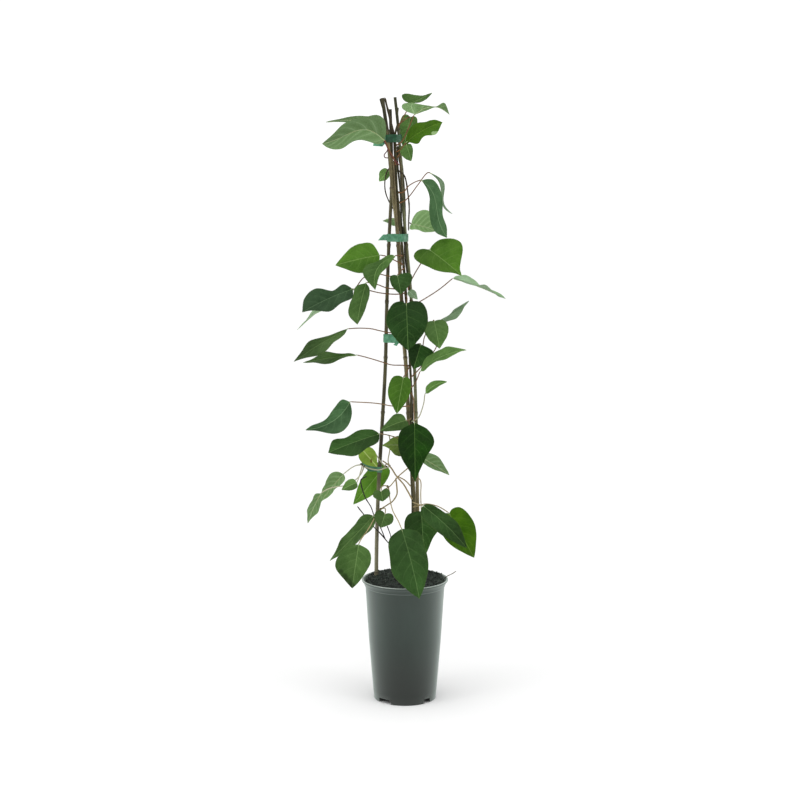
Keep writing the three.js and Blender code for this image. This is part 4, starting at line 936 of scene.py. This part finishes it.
def half_width(share, widths):
    """Half the width of one side of a blade, at a share of its length."""
    if not isinstance(widths, (list, tuple)):
        widths = [part * widths for part in OUTLINE]
    knots = [(0, MIN_HALF), *zip(OUTLINE_AT, widths), (1, MIN_HALF)]
    after = max(1, next(i for i, (at, _) in enumerate(knots) if at >= share - 1e-9))

    def slope(i):
        before, beyond = knots[max(0, i - 1)], knots[min(len(knots) - 1, i + 1)]
        return (beyond[1] - before[1]) / (beyond[0] - before[0])

    (low, first), (high, second) = knots[after - 1], knots[after]
    span = high - low
    t = (share - low) / span
    ease = t * t * (3 - 2 * t)
    bend = t * (1 - t) ** 2 * span * slope(after - 1) + t * t * (t - 1) * span * slope(after)
    return max(MIN_HALF, first + (second - first) * ease + bend)


def vein_phase(u, reach):
    """Which side vein runs through a place: whole numbers lie on a vein."""
    return VEIN_PAIRS * (u - VEIN_RISE * reach * (0.75 + 0.25 * reach) * u / (u + 0.12))


def blade_places(leaf, index):
    """How a blade is laid out: a function from its own two directions to a place in the frame."""
    foot, tip, face = Vector(leaf.foot), Vector(leaf.tip), Vector(leaf.face)
    along = (tip - foot).normalized()
    carrier = (*leaf.stalk, leaf.foot) if leaf.stalk else WOODY_STEMS[LEAF_TWIGS[leaf.name]][1]
    end = (Vector(carrier[-1]) - Vector(carrier[-2])).normalized()
    lean = math.sqrt(max(0.0, 1 - end.dot(along) ** 2))
    clearance = FOOT_GAP + STALK_RADIUS * lean
    length = (tip - foot).length - clearance
    start = foot + along * clearance
    up = (face - along * face.dot(along)).normalized()
    side = up.cross(along)
    crease = math.radians(leaf.fold)

    def place(u, v):
        bow = 4 * u * (1 - u)
        lobed = u / LOBE_REACH * math.exp(1 - u / LOBE_REACH)
        wide = half_width(u, leaf.half[0 if v > 0 else 1]) * v
        hand = (v > 0) - (v < 0)
        phase = 2 * math.pi * WAVES * u + 1.3 * hand + 2.4 * index
        ripple = leaf.wave * v * v * bow * math.sin(phase)
        flutter = 0.16 * leaf.wave * v ** 4 * bow * math.sin(2.7 * phase + index)
        forward = length * (u - leaf.lobe[0 if v > 0 else 1] * lobed * v * v)
        sideways = wide * math.cos(crease) + leaf.sweep[0] * bow
        sideways += leaf.sweep[1] * math.sin(2 * math.pi * u)
        height = abs(wide) * math.sin(crease) + leaf.arch * bow + ripple + flutter
        groove = 0.45 * math.exp(-(wide / 1.1) ** 2)
        reach = abs(v)
        near = vein_phase(u, reach) + (VEIN_OFFSET if v > 0 else 0)
        away = abs(near - round(near)) / VEIN_PAIRS * length
        fade = smooth_step(1.0, 0.75, reach) * smooth_step(0.98, 0.85, u)
        vein = 0.18 * math.exp(-(away / 0.9) ** 2) * fade
        quilt = 0.14 * math.sin(math.pi * (near - math.floor(near))) * fade * smooth_step(0, 0.2, reach)
        height += (quilt - vein) * min(1.0, abs(wide) / 2) - groove
        tooth = 0.35 * ((u * length / 2.6) % 1) * reach ** 24 * (0.03 < u < 0.97)
        return start + along * (forward + 0.4 * tooth) + side * (sideways + hand * tooth) + up * height

    return place, length, start, up


def blade_form(leaf, index, settings):
    """A blade from a bent grid with its thickness, and a tapered rib under its middle."""
    place, length, start, up = blade_places(leaf, index)
    left, right, tip = leaf.tint
    widest = max(half_width(at, side) for at in OUTLINE_AT for side in leaf.half)
    rows = max(28, min(96, round(length / ROW_GAP)))
    columns = 2 * max(9, min(20, round(widest / COLUMN_GAP)))
    form = bmesh.new()
    blade = form.verts.layers.float_vector.new("blade")
    tint = form.verts.layers.float.new("tint")
    mark = form.verts.layers.float.new("mark")
    bmesh.ops.create_grid(form, x_segments=columns, y_segments=rows, size=1)
    half_thick = settings.blade_thickness / MM / 2
    # The grid is closer at the foot and at the midrib
    for vert in form.verts:
        v = vert.co.x * abs(vert.co.x) ** 0.15 if vert.co.x else 0.0
        u = ((vert.co.y + 1) / 2) ** 1.2
        vert.co = place(u, v)
        wide = half_width(u, leaf.half[0 if v > 0 else 1]) * v
        vert[blade] = (u, v, wide / 100)
        # Lightness of the leaf's own tone and painted light and shade, by half and towards the tip
        vert[tint] = (left + (right - left) * smooth_step(-0.12, 0.12, v)) * tip ** (u - 0.5)
        for x, z, size, kind in SPOTS_AND_PAINTED_SHADE.get(leaf.name, ()):
            off = math.hypot(vert.co.x - x, vert.co.z - z)
            near = smooth_step(1.4 * size, 0.6 * size, off)
            vert[mark] += kind * near
            # A patch of kind 0 is painted shade, which darkens the blade there
            vert[tint] *= 1 if kind else 1 - 0.5 * near
    bmesh.ops.reverse_faces(form, faces=form.faces)
    form.normal_update()
    for vert in form.verts:
        vert.co += vert.normal * half_thick
    count = len(form.faces)
    bmesh.ops.solidify(form, geom=form.faces[:], thickness=2 * half_thick)
    # The underside's faces come after the upper ones, and the edge's last
    for i, face in enumerate(form.faces):
        face.material_index = 1 if count <= i < 2 * count else 0
    shares = [i / RIB_STEPS for i in range(RIB_STEPS + 1)]
    spine = [place(share * 0.96, 0.0) - up * 0.5 for share in shares]
    spine[0] = start - (spine[1] - start).normalized() * 1.4
    rib = tube(spine, [0.9 - 0.66 * share ** 0.6 for share in shares], 8, [0] * len(shares))
    for face in rib.faces:
        face.material_index = 2
    return gathered([form, rib])


def leaf_look(tone, side):
    """A leaf face: side 0 is the upper face, 1 the underside, 2 the rib."""
    face, patch, vein, under, under_vein = (shade(*colour) for colour in TONES[tone])
    look = Look(f"leaf {tone} {('upper', 'under', 'rib')[side]}")
    if side == 2:
        blotch = look.noise(240.0, 3.0)
        colour = look.mix(blotch.above(0.3, 0.7), under_vein, shade(150, 160, 104))
        return look.done(Base_Color=colour, Roughness=0.5)
    u, v, wide = look.axes(look.attribute("blade", "Vector"))
    reach = abs(v)
    tint = look.attribute("tint")
    mark = look.attribute("mark")
    bold = BOLD_MIDRIB.get(tone, 1)
    near = vein_phase(u, reach) + v.maths("GREATER_THAN", 0.0) * VEIN_OFFSET
    away = 0.5 - abs(near.fract() - 0.5)
    thin = 0.045 - 0.025 * reach
    side_vein = (away / thin).below(0.6, 1.6) * reach.below(0.8, 1.02)
    middle = (abs(wide) / bold).below(0.003, 0.009)
    net = look.cells(240.0, "DISTANCE_TO_EDGE").below(0.02, 0.09)
    blotch = look.noise(34.0, 5.0, roughness=0.6)
    broad = look.noise(11.0, 2.0)
    cloud = (0.55 * blotch + 0.45 * broad).above(0.38, 0.62)
    if side == 0:
        # Painted shade of the quilting: near the veins the darker patches give way to the face colour, so
        # the blade looks darker between them
        colour = look.layered(
            face, (cloud * 0.8, patch), ((0.5 - away) * 0.25 * reach.above(0.05, 0.3), face),
            (net * 0.07, vein), (side_vein * (0.2 - 0.12 * reach), vein), (middle * (0.6 * bold), vein),
            (reach.above(0.96, 1.0) * 0.25, shade(104, 120, 60)))
        rough = 0.42 + 0.14 * blotch + 0.06 * net
    else:
        trough = 0.4 if tone in ("pale", "silver") else 0.18
        colour = look.layered(
            under, (cloud * 0.5, face), (away.above(0.12, 0.42) * reach.below(0.5, 1.0) * trough, patch),
            (net * 0.15, under_vein), (side_vein * 0.6, under_vein), (middle * 0.7, under_vein))
        rough = 0.6 + 0.12 * blotch
    colour = look.layered(colour, (mark.above(0.1, 0.8) * 0.9, shade(84, 66, 24)),
                          ((0 - mark).above(0.1, 0.8) * 0.9, under_vein))
    # Painted light and shade, with the leaf's own tone: the colour is scaled by the leaf's lightness
    colour = look.scaled(colour, tint)
    relief = look.bump(net * -0.3 + blotch * 0.6 + away * 0.7 * reach.above(0.05, 0.3), 0.5, 0.0008)
    return look.done(Base_Color=colour, Roughness=rough, Normal=relief, Specular_IOR_Level=0.1)


# Ties

def tape_look():
    """Green plastic tape with a crinkle, as dark as its mark says."""
    look = Look("tie tape")
    crinkle = look.noise(120.0, 3.0, roughness=0.6)
    fold = look.noise(45.0, 2.0)
    colour = look.mix(crinkle.above(0.35, 0.7), shade(70, 142, 104), shade(124, 194, 154))
    dark = look.mix(fold.above(0.4, 0.6), shade(18, 60, 38), shade(36, 90, 58))
    colour = look.mix(look.attribute("mark"), colour, dark)
    return look.done(Base_Color=colour, Roughness=0.4, Normal=look.bump(crinkle + fold, 0.4, 0.001),
                     Specular_IOR_Level=0.3, Transmission_Weight=0.25)


def place_at_height(places, height):
    return min(places, key=lambda place: abs(place.z - height))


def loop_round(discs, clearance):
    """The shortest loop round discs of centre and radius, as plan points."""
    points = []
    for centre, radius in discs:
        for i in range(32):
            angle = 2 * math.pi * i / 32
            points.append(centre.xy + (radius + clearance) * Vector((math.cos(angle), math.sin(angle))))
    return [points[i] for i in geometry.convex_hull_2d(points)]


def held_discs(low, high, held):
    """The centre and radius of each cane and stem that a tie holds, at five heights."""
    discs = []
    for i in range(5):
        height = low + (high - low) * i / 4
        for name, foot_radius, top_radius, route in CANES:
            if name in held:
                places = curve_places(route, FINE_STEPS)
                at = place_at_height(places, height)
                share = places.index(at) / len(places)
                discs.append((at, foot_radius + (top_radius - foot_radius) * share + 0.3))
        for radius, route in (YOUNG_STEMS[0], WOODY_STEMS[0]) if len(held) > 1 else ():
            discs.append((place_at_height(curve_places(route, FINE_STEPS), height), radius + 0.2))
    return discs


def tie_band(low, high, held, seed):
    """The creased band of tape round what it holds."""
    form = bmesh.new()
    loop = loop_round(held_discs(low, high, held), 0.8)
    ring = [form.verts.new((point.x, point.y, low)) for point in loop]
    edges = [form.edges.new((ring[i - 1], ring[i])) for i in range(len(ring))]
    for _ in range(TAPE_ROWS):
        ring, edges = extruded(form, edges)
        bmesh.ops.translate(form, vec=(0, 0, (high - low) / TAPE_ROWS), verts=ring)
    middle = sum((Vector((v.co.x, v.co.y, 0)) for v in form.verts), Vector()) / len(form.verts)
    for vert in form.verts:
        out = Vector((vert.co.x, vert.co.y, 0)) - middle
        crease = noise.noise(Vector((vert.co.x * 0.16, vert.co.z * 0.5, seed)))
        vert.co += out.normalized() * 0.3 * crease
        vert.co.z += 0.8 * noise.noise(Vector((vert.co.x * 0.08, vert.co.y * 0.08, seed + 9)))
    bmesh.ops.recalc_face_normals(form, faces=form.faces)
    bmesh.ops.solidify(form, geom=form.faces[:], thickness=TAPE_THICKNESS)
    return form


def tie_tail(depth, outline, seed):
    """The loose end of a tie, as a rippled flap."""
    form = bmesh.new()
    form.faces.new([form.verts.new((x, depth, z)) for x, z in outline])
    bmesh.ops.triangulate(form, faces=form.faces)
    for _ in range(3):
        bmesh.ops.subdivide_edges(form, edges=form.edges, cuts=1, use_grid_fill=True)
    for vert in form.verts:
        ripple = noise.noise(Vector((vert.co.x * 0.18, vert.co.z * 0.25, seed)))
        vert.co.y += 1.2 * ripple - 0.5
    bmesh.ops.solidify(form, geom=form.faces[:], thickness=TAPE_THICKNESS)
    bmesh.ops.recalc_face_normals(form, faces=form.faces)
    return form


# What a user may change

class KiwiSettings(bpy.types.PropertyGroup):
    """Sizes and colours of the pot and the leaves"""
    pot_height: bpy.props.FloatProperty(
        name="Pot height", description="Height of the pot", default=0.212, unit="LENGTH")
    rim_radius: bpy.props.FloatProperty(
        name="Rim radius", description="Outer radius of the pot's rim", default=0.075, unit="LENGTH")
    foot_radius: bpy.props.FloatProperty(
        name="Foot radius", description="Outer radius of the pot's foot", default=0.054, unit="LENGTH")
    blade_thickness: bpy.props.FloatProperty(
        name="Blade thickness", description="Thickness of a leaf blade", default=0.00045, unit="LENGTH")
    pot_colour: bpy.props.FloatVectorProperty(
        name="Pot", description="Colour of the pot", size=4, subtype="COLOR", default=shade(20, 36, 28))
    pot_low: bpy.props.FloatVectorProperty(
        name="Pot foot", description="Colour of the pot towards its foot", size=4, subtype="COLOR",
        default=shade(7, 9, 2))
    pot_scuff: bpy.props.FloatVectorProperty(
        name="Pot scuffs", description="Colour of its scuffs", size=4, subtype="COLOR",
        default=shade(33, 49, 41))


class KiwiStudio(bpy.types.PropertyGroup):
    """Strength of the light and the backdrop"""
    key_power: bpy.props.FloatProperty(
        name="Top light", description="Strength of the wide light overhead", default=1.5)
    side_power: bpy.props.FloatProperty(
        name="Side lights", description="Power of each side light", default=9.0, unit="POWER")
    sky: bpy.props.FloatProperty(
        name="Room light", description="Strength of the even light all round", default=0.8)
    dim: bpy.props.FloatProperty(
        name="Dim side", description="Strength of that light behind the viewer", default=0.22)
    backdrop: bpy.props.FloatProperty(
        name="Backdrop", description="How bright the backdrop looks", default=1.1)


def studio_world(studio):
    """White all round, with a dim side behind the viewer that only the light and the gloss see."""
    world = bpy.data.worlds.new("studio")
    world.use_nodes = True
    sky = Nodes(world.node_tree)
    seen = sky.tree.nodes["Background"]
    sky.feed(seen.inputs["Color"], WHITE)
    sky.feed(seen.inputs["Strength"], studio.backdrop)
    direction = sky.node("ShaderNodeTexCoord").outputs["Generated"]
    facing = sky.node("ShaderNodeVectorMath", {"operation": "DOT_PRODUCT"},
                      {0: direction, 1: Vector(DIM_FROM).normalized()})
    strength = sky.node("ShaderNodeMapRange", {"interpolation_type": "SMOOTHSTEP"},
                        {"Value": facing.outputs["Value"], "From Min": 0.1, "From Max": 0.85,
                         "To Min": studio.sky, "To Max": studio.dim})
    room = sky.node("ShaderNodeBackground", None,
                    {"Color": WHITE, "Strength": strength.outputs["Result"]})
    by_camera = sky.node("ShaderNodeLightPath").outputs["Is Camera Ray"]
    blend = sky.node("ShaderNodeMixShader", None, {0: by_camera, 1: room.outputs[0], 2: seen.outputs[0]})
    sky.feed(sky.tree.nodes["World Output"].inputs["Surface"], blend.outputs[0])
    return world


def looking(eye, aim):
    """Where a lamp or camera stands that looks from a place to another."""
    eye = Vector(eye)
    turn = (Vector(aim) - eye).to_track_quat("-Z", "Y")
    return Matrix.Translation(eye) @ turn.to_matrix().to_4x4()


class KIWI_OT_pot(bpy.types.Operator):
    """Makes the pot"""
    bl_idname = "kiwi.pot"
    bl_label = "Pot"

    def execute(self, context):
        settings = context.scene.kiwi
        look = pot_look(settings)
        piece = placed("nursery_pot", pot_form(settings), [look], ["pot"], 40)
        cutters = []
        for i in range(DRAIN_HOLES):
            angle = math.radians(360 / DRAIN_HOLES * i)
            x, y = (DRAIN_REACH * MM * part for part in (math.cos(angle), math.sin(angle)))
            form = bmesh.new()
            bmesh.ops.create_cone(form, cap_ends=True, segments=32, radius1=DRAIN_RADIUS * MM,
                                  radius2=DRAIN_RADIUS * MM, depth=DRAIN_DEPTH * MM,
                                  matrix=Matrix.Translation((x, y, DRAIN_MIDDLE * MM)))
            cutter = in_scene("drain", mesh_of("drain", form))
            piece.modifiers.new("drain", "BOOLEAN").object = cutter
            cutters.append(cutter)
        graph = context.evaluated_depsgraph_get()
        pierced = bpy.data.meshes.new_from_object(piece.evaluated_get(graph))
        piece.modifiers.clear()
        piece.data = pierced
        for cutter in cutters:
            bpy.data.objects.remove(cutter)
        return {"FINISHED"}


class KIWI_OT_soil(bpy.types.Operator):
    """Fills the pot with potting mix and scatters its crumbs"""
    bl_idname = "kiwi.soil"
    bl_label = "Potting mix"

    def execute(self, context):
        draws = random.Random(11)
        look = soil_look()
        placed("potting_mix", soil_form(), [look], ["soil"], 180)
        placed("mix_crumbs", gathered(crumbs(CRUMBS, 0.5, 1.7, draws)), [look], [], 30)
        large = [crumb(Vector(place), 1.5, draws) for place in LARGE_PERLITE]
        perlite = gathered([*crumbs(SMALL_PERLITE, 0.4, 0.8, draws), *large])
        placed("perlite", perlite, [perlite_look()], [], 30)
        placed("heaped_mix", gathered(heaped_crumbs(draws)), [look], [], 30)
        return {"FINISHED"}


class KIWI_OT_canes(bpy.types.Operator):
    """Makes the three bamboo canes"""
    bl_idname = "kiwi.canes"
    bl_label = "Canes"

    def execute(self, context):
        looks = {
            "cane_left": ("cane_brown", (84, 80, 51), (57, 53, 33), (42, 36, 28), (142, 137, 112)),
            "cane_middle": ("cane_tan", (128, 118, 82), (88, 80, 52), (50, 42, 28), (126, 118, 88)),
            "cane_right": ("cane_green", (112, 114, 80), (84, 88, 58), (46, 48, 32), (142, 120, 84)),
        }
        for name, foot_radius, top_radius, route in CANES:
            slot, *colours = looks[name]
            look = cane_look(slot.replace("_", " "), *colours)
            form = cane_form(route, foot_radius, top_radius)
            placed("bamboo_" + name[5:], form, [look], [name], 45)
        return {"FINISHED"}


class KIWI_OT_woody(bpy.types.Operator):
    """Makes the old stem and its side stems and twigs"""
    bl_idname = "kiwi.woody"
    bl_label = "Woody stems"

    def execute(self, context):
        draws = random.Random(5)
        bark = stem_look("old bark", (70, 64, 46), (66, 58, 40), (38, 34, 24), (36, 30, 28))
        stems = [(radius, 1.0 if radius <= 1 else 0.0, route) for radius, route in WOODY_STEMS]
        form = gathered(stem_forms(stems, draws, 0.22))
        placed("woody_stems", form, [bark], ["vine_woody"])
        strand = stem_look("strand bark", (112, 102, 74), (112, 102, 74), (60, 50, 34), (46, 46, 26))
        placed("strands", gathered(stem_forms(STRANDS, draws, 0.16)), [strand], [])
        radius, route = RIM_TWIG
        twig = gathered(stem_forms([(radius, 0.0, route)], draws, 0.3, sides=8, per_span=6))
        placed("rim_twig", twig, [strand], [])
        return {"FINISHED"}


class KIWI_OT_young(bpy.types.Operator):
    """Makes the young stems and every leaf stalk"""
    bl_idname = "kiwi.young"
    bl_label = "Young stems and leaf stalks"

    def execute(self, context):
        draws = random.Random(7)
        young = stem_look("young stem", (160, 145, 106), (116, 80, 48), (90, 62, 38), (60, 56, 32))
        stems = [(radius, STEM_MARKS.get(i, 0.0), route) for i, (radius, route) in enumerate(YOUNG_STEMS)]
        forms = stem_forms(stems, draws, 0.1, sides=12)
        for leaf in LEAVES:
            if leaf.stalk:
                forms += stalk_forms(leaf)
        placed("young_stems", gathered(forms), [young], ["vine_young"])
        red = stem_look("red stem", (108, 52, 50), (92, 40, 42), (70, 30, 32), (54, 26, 26))
        stems = [(radius, 0.0, route) for radius, route in RED_STRANDS]
        placed("red_strands", gathered(stem_forms(stems, draws, 0.1)), [red], [])
        return {"FINISHED"}


class KIWI_OT_ties(bpy.types.Operator):
    """Makes the four tape ties with their loose tails"""
    bl_idname = "kiwi.ties"
    bl_label = "Ties"

    def execute(self, context):
        draws = random.Random(3)
        look = tape_look()
        for name, low, high, held, depth, outline in TIES:
            seed = draws.uniform(0, 50)
            form = gathered([tie_band(low, high, held, seed), tie_tail(depth, outline, seed)])
            mark = form.verts.layers.float.new("mark")
            for vert in form.verts:
                vert[mark] = 0.1 if vert.co.x < PALE_TAIL.get(name, -math.inf) else TIE_SHADES[name]
            placed("tape_" + name, form, [look], [name], 50)
        return {"FINISHED"}


class KIWI_OT_leaves(bpy.types.Operator):
    """Makes every leaf blade with its veins and rib"""
    bl_idname = "kiwi.leaves"
    bl_label = "Leaf blades"

    def execute(self, context):
        looks = {tone: [leaf_look(tone, side) for side in range(3)] for tone in TONES}
        for index, leaf in enumerate(LEAVES):
            form = blade_form(leaf, index, context.scene.kiwi)
            look = looks[LOOKS_AS.get(leaf.name, leaf.tone)]
            placed("blade_" + leaf.name[5:], form, look, [leaf.name], 70)
        return {"FINISHED"}


class KIWI_OT_studio(bpy.types.Operator):
    """Makes the floor, the lights and the camera"""
    bl_idname = "kiwi.studio"
    bl_label = "Studio"

    def execute(self, context):
        scene = context.scene
        studio = scene.kiwi_studio
        form = bmesh.new()
        bmesh.ops.create_grid(form, x_segments=1, y_segments=1, size=FLOOR_HALF)
        floor = in_scene("floor", mesh_of("floor", form))
        look = Look("studio floor")
        look.done(Base_Color=shade(241, 241, 241), Roughness=0.9, Specular_IOR_Level=0.0)
        floor.data.materials.append(look.material)
        scene.world = studio_world(studio)
        top = bpy.data.lights.new("top light", "SUN")
        top.energy = studio.key_power
        top.angle = math.radians(TOP_LIGHT_SPREAD)
        turn = Vector(TOP_LIGHT_FROM).to_track_quat("Z", "Y")
        in_scene("top light", top).matrix_world = turn.to_matrix().to_4x4()
        across, back, up = SIDE_LIGHT
        for name, place in (("left light", (-across, back, up)), ("right light", SIDE_LIGHT)):
            lamp = bpy.data.lights.new(name, "AREA")
            lamp.shape = "RECTANGLE"
            lamp.size, lamp.size_y = SIDE_LIGHT_SIZE
            lamp.energy = studio.side_power
            in_scene(name, lamp).matrix_world = looking(place, SIDE_LIGHT_AIM)
        lens = bpy.data.cameras.new("camera")
        lens.sensor_width = SENSOR
        lens.lens = SENSOR * FOCAL / PICTURE
        scene.camera = in_scene("camera", lens)
        scene.camera.matrix_world = looking(EYE, AIM)
        scene.view_settings.view_transform = "Standard"
        return {"FINISHED"}


STEPS = (KIWI_OT_studio, KIWI_OT_pot, KIWI_OT_soil, KIWI_OT_canes, KIWI_OT_woody, KIWI_OT_young,
         KIWI_OT_ties, KIWI_OT_leaves)


class KIWI_PT_panel(bpy.types.Panel):
    """Lists the pieces and their sizes and colours"""
    bl_idname = "KIWI_PT_panel"
    bl_label = "Potted hardy kiwi vine"
    bl_space_type = "VIEW_3D"
    bl_region_type = "UI"
    bl_category = "Kiwi"

    def draw(self, context):
        for settings in (context.scene.kiwi, context.scene.kiwi_studio):
            for key in settings.__annotations__:
                self.layout.prop(settings, key)
        for step in STEPS:
            self.layout.operator(step.bl_idname)


CLASSES = (KiwiSettings, KiwiStudio, *STEPS, KIWI_PT_panel)


def register():
    for entry in CLASSES:
        bpy.utils.register_class(entry)
    bpy.types.Scene.kiwi = bpy.props.PointerProperty(type=KiwiSettings)
    bpy.types.Scene.kiwi_studio = bpy.props.PointerProperty(type=KiwiStudio)


def unregister():
    del bpy.types.Scene.kiwi_studio
    del bpy.types.Scene.kiwi
    for entry in reversed(CLASSES):
        bpy.utils.unregister_class(entry)


def main():
    register()
    for step in STEPS:
        group, name = step.bl_idname.split(".")
        getattr(getattr(bpy.ops, group), name)()


if __name__ == "__main__":
    main()
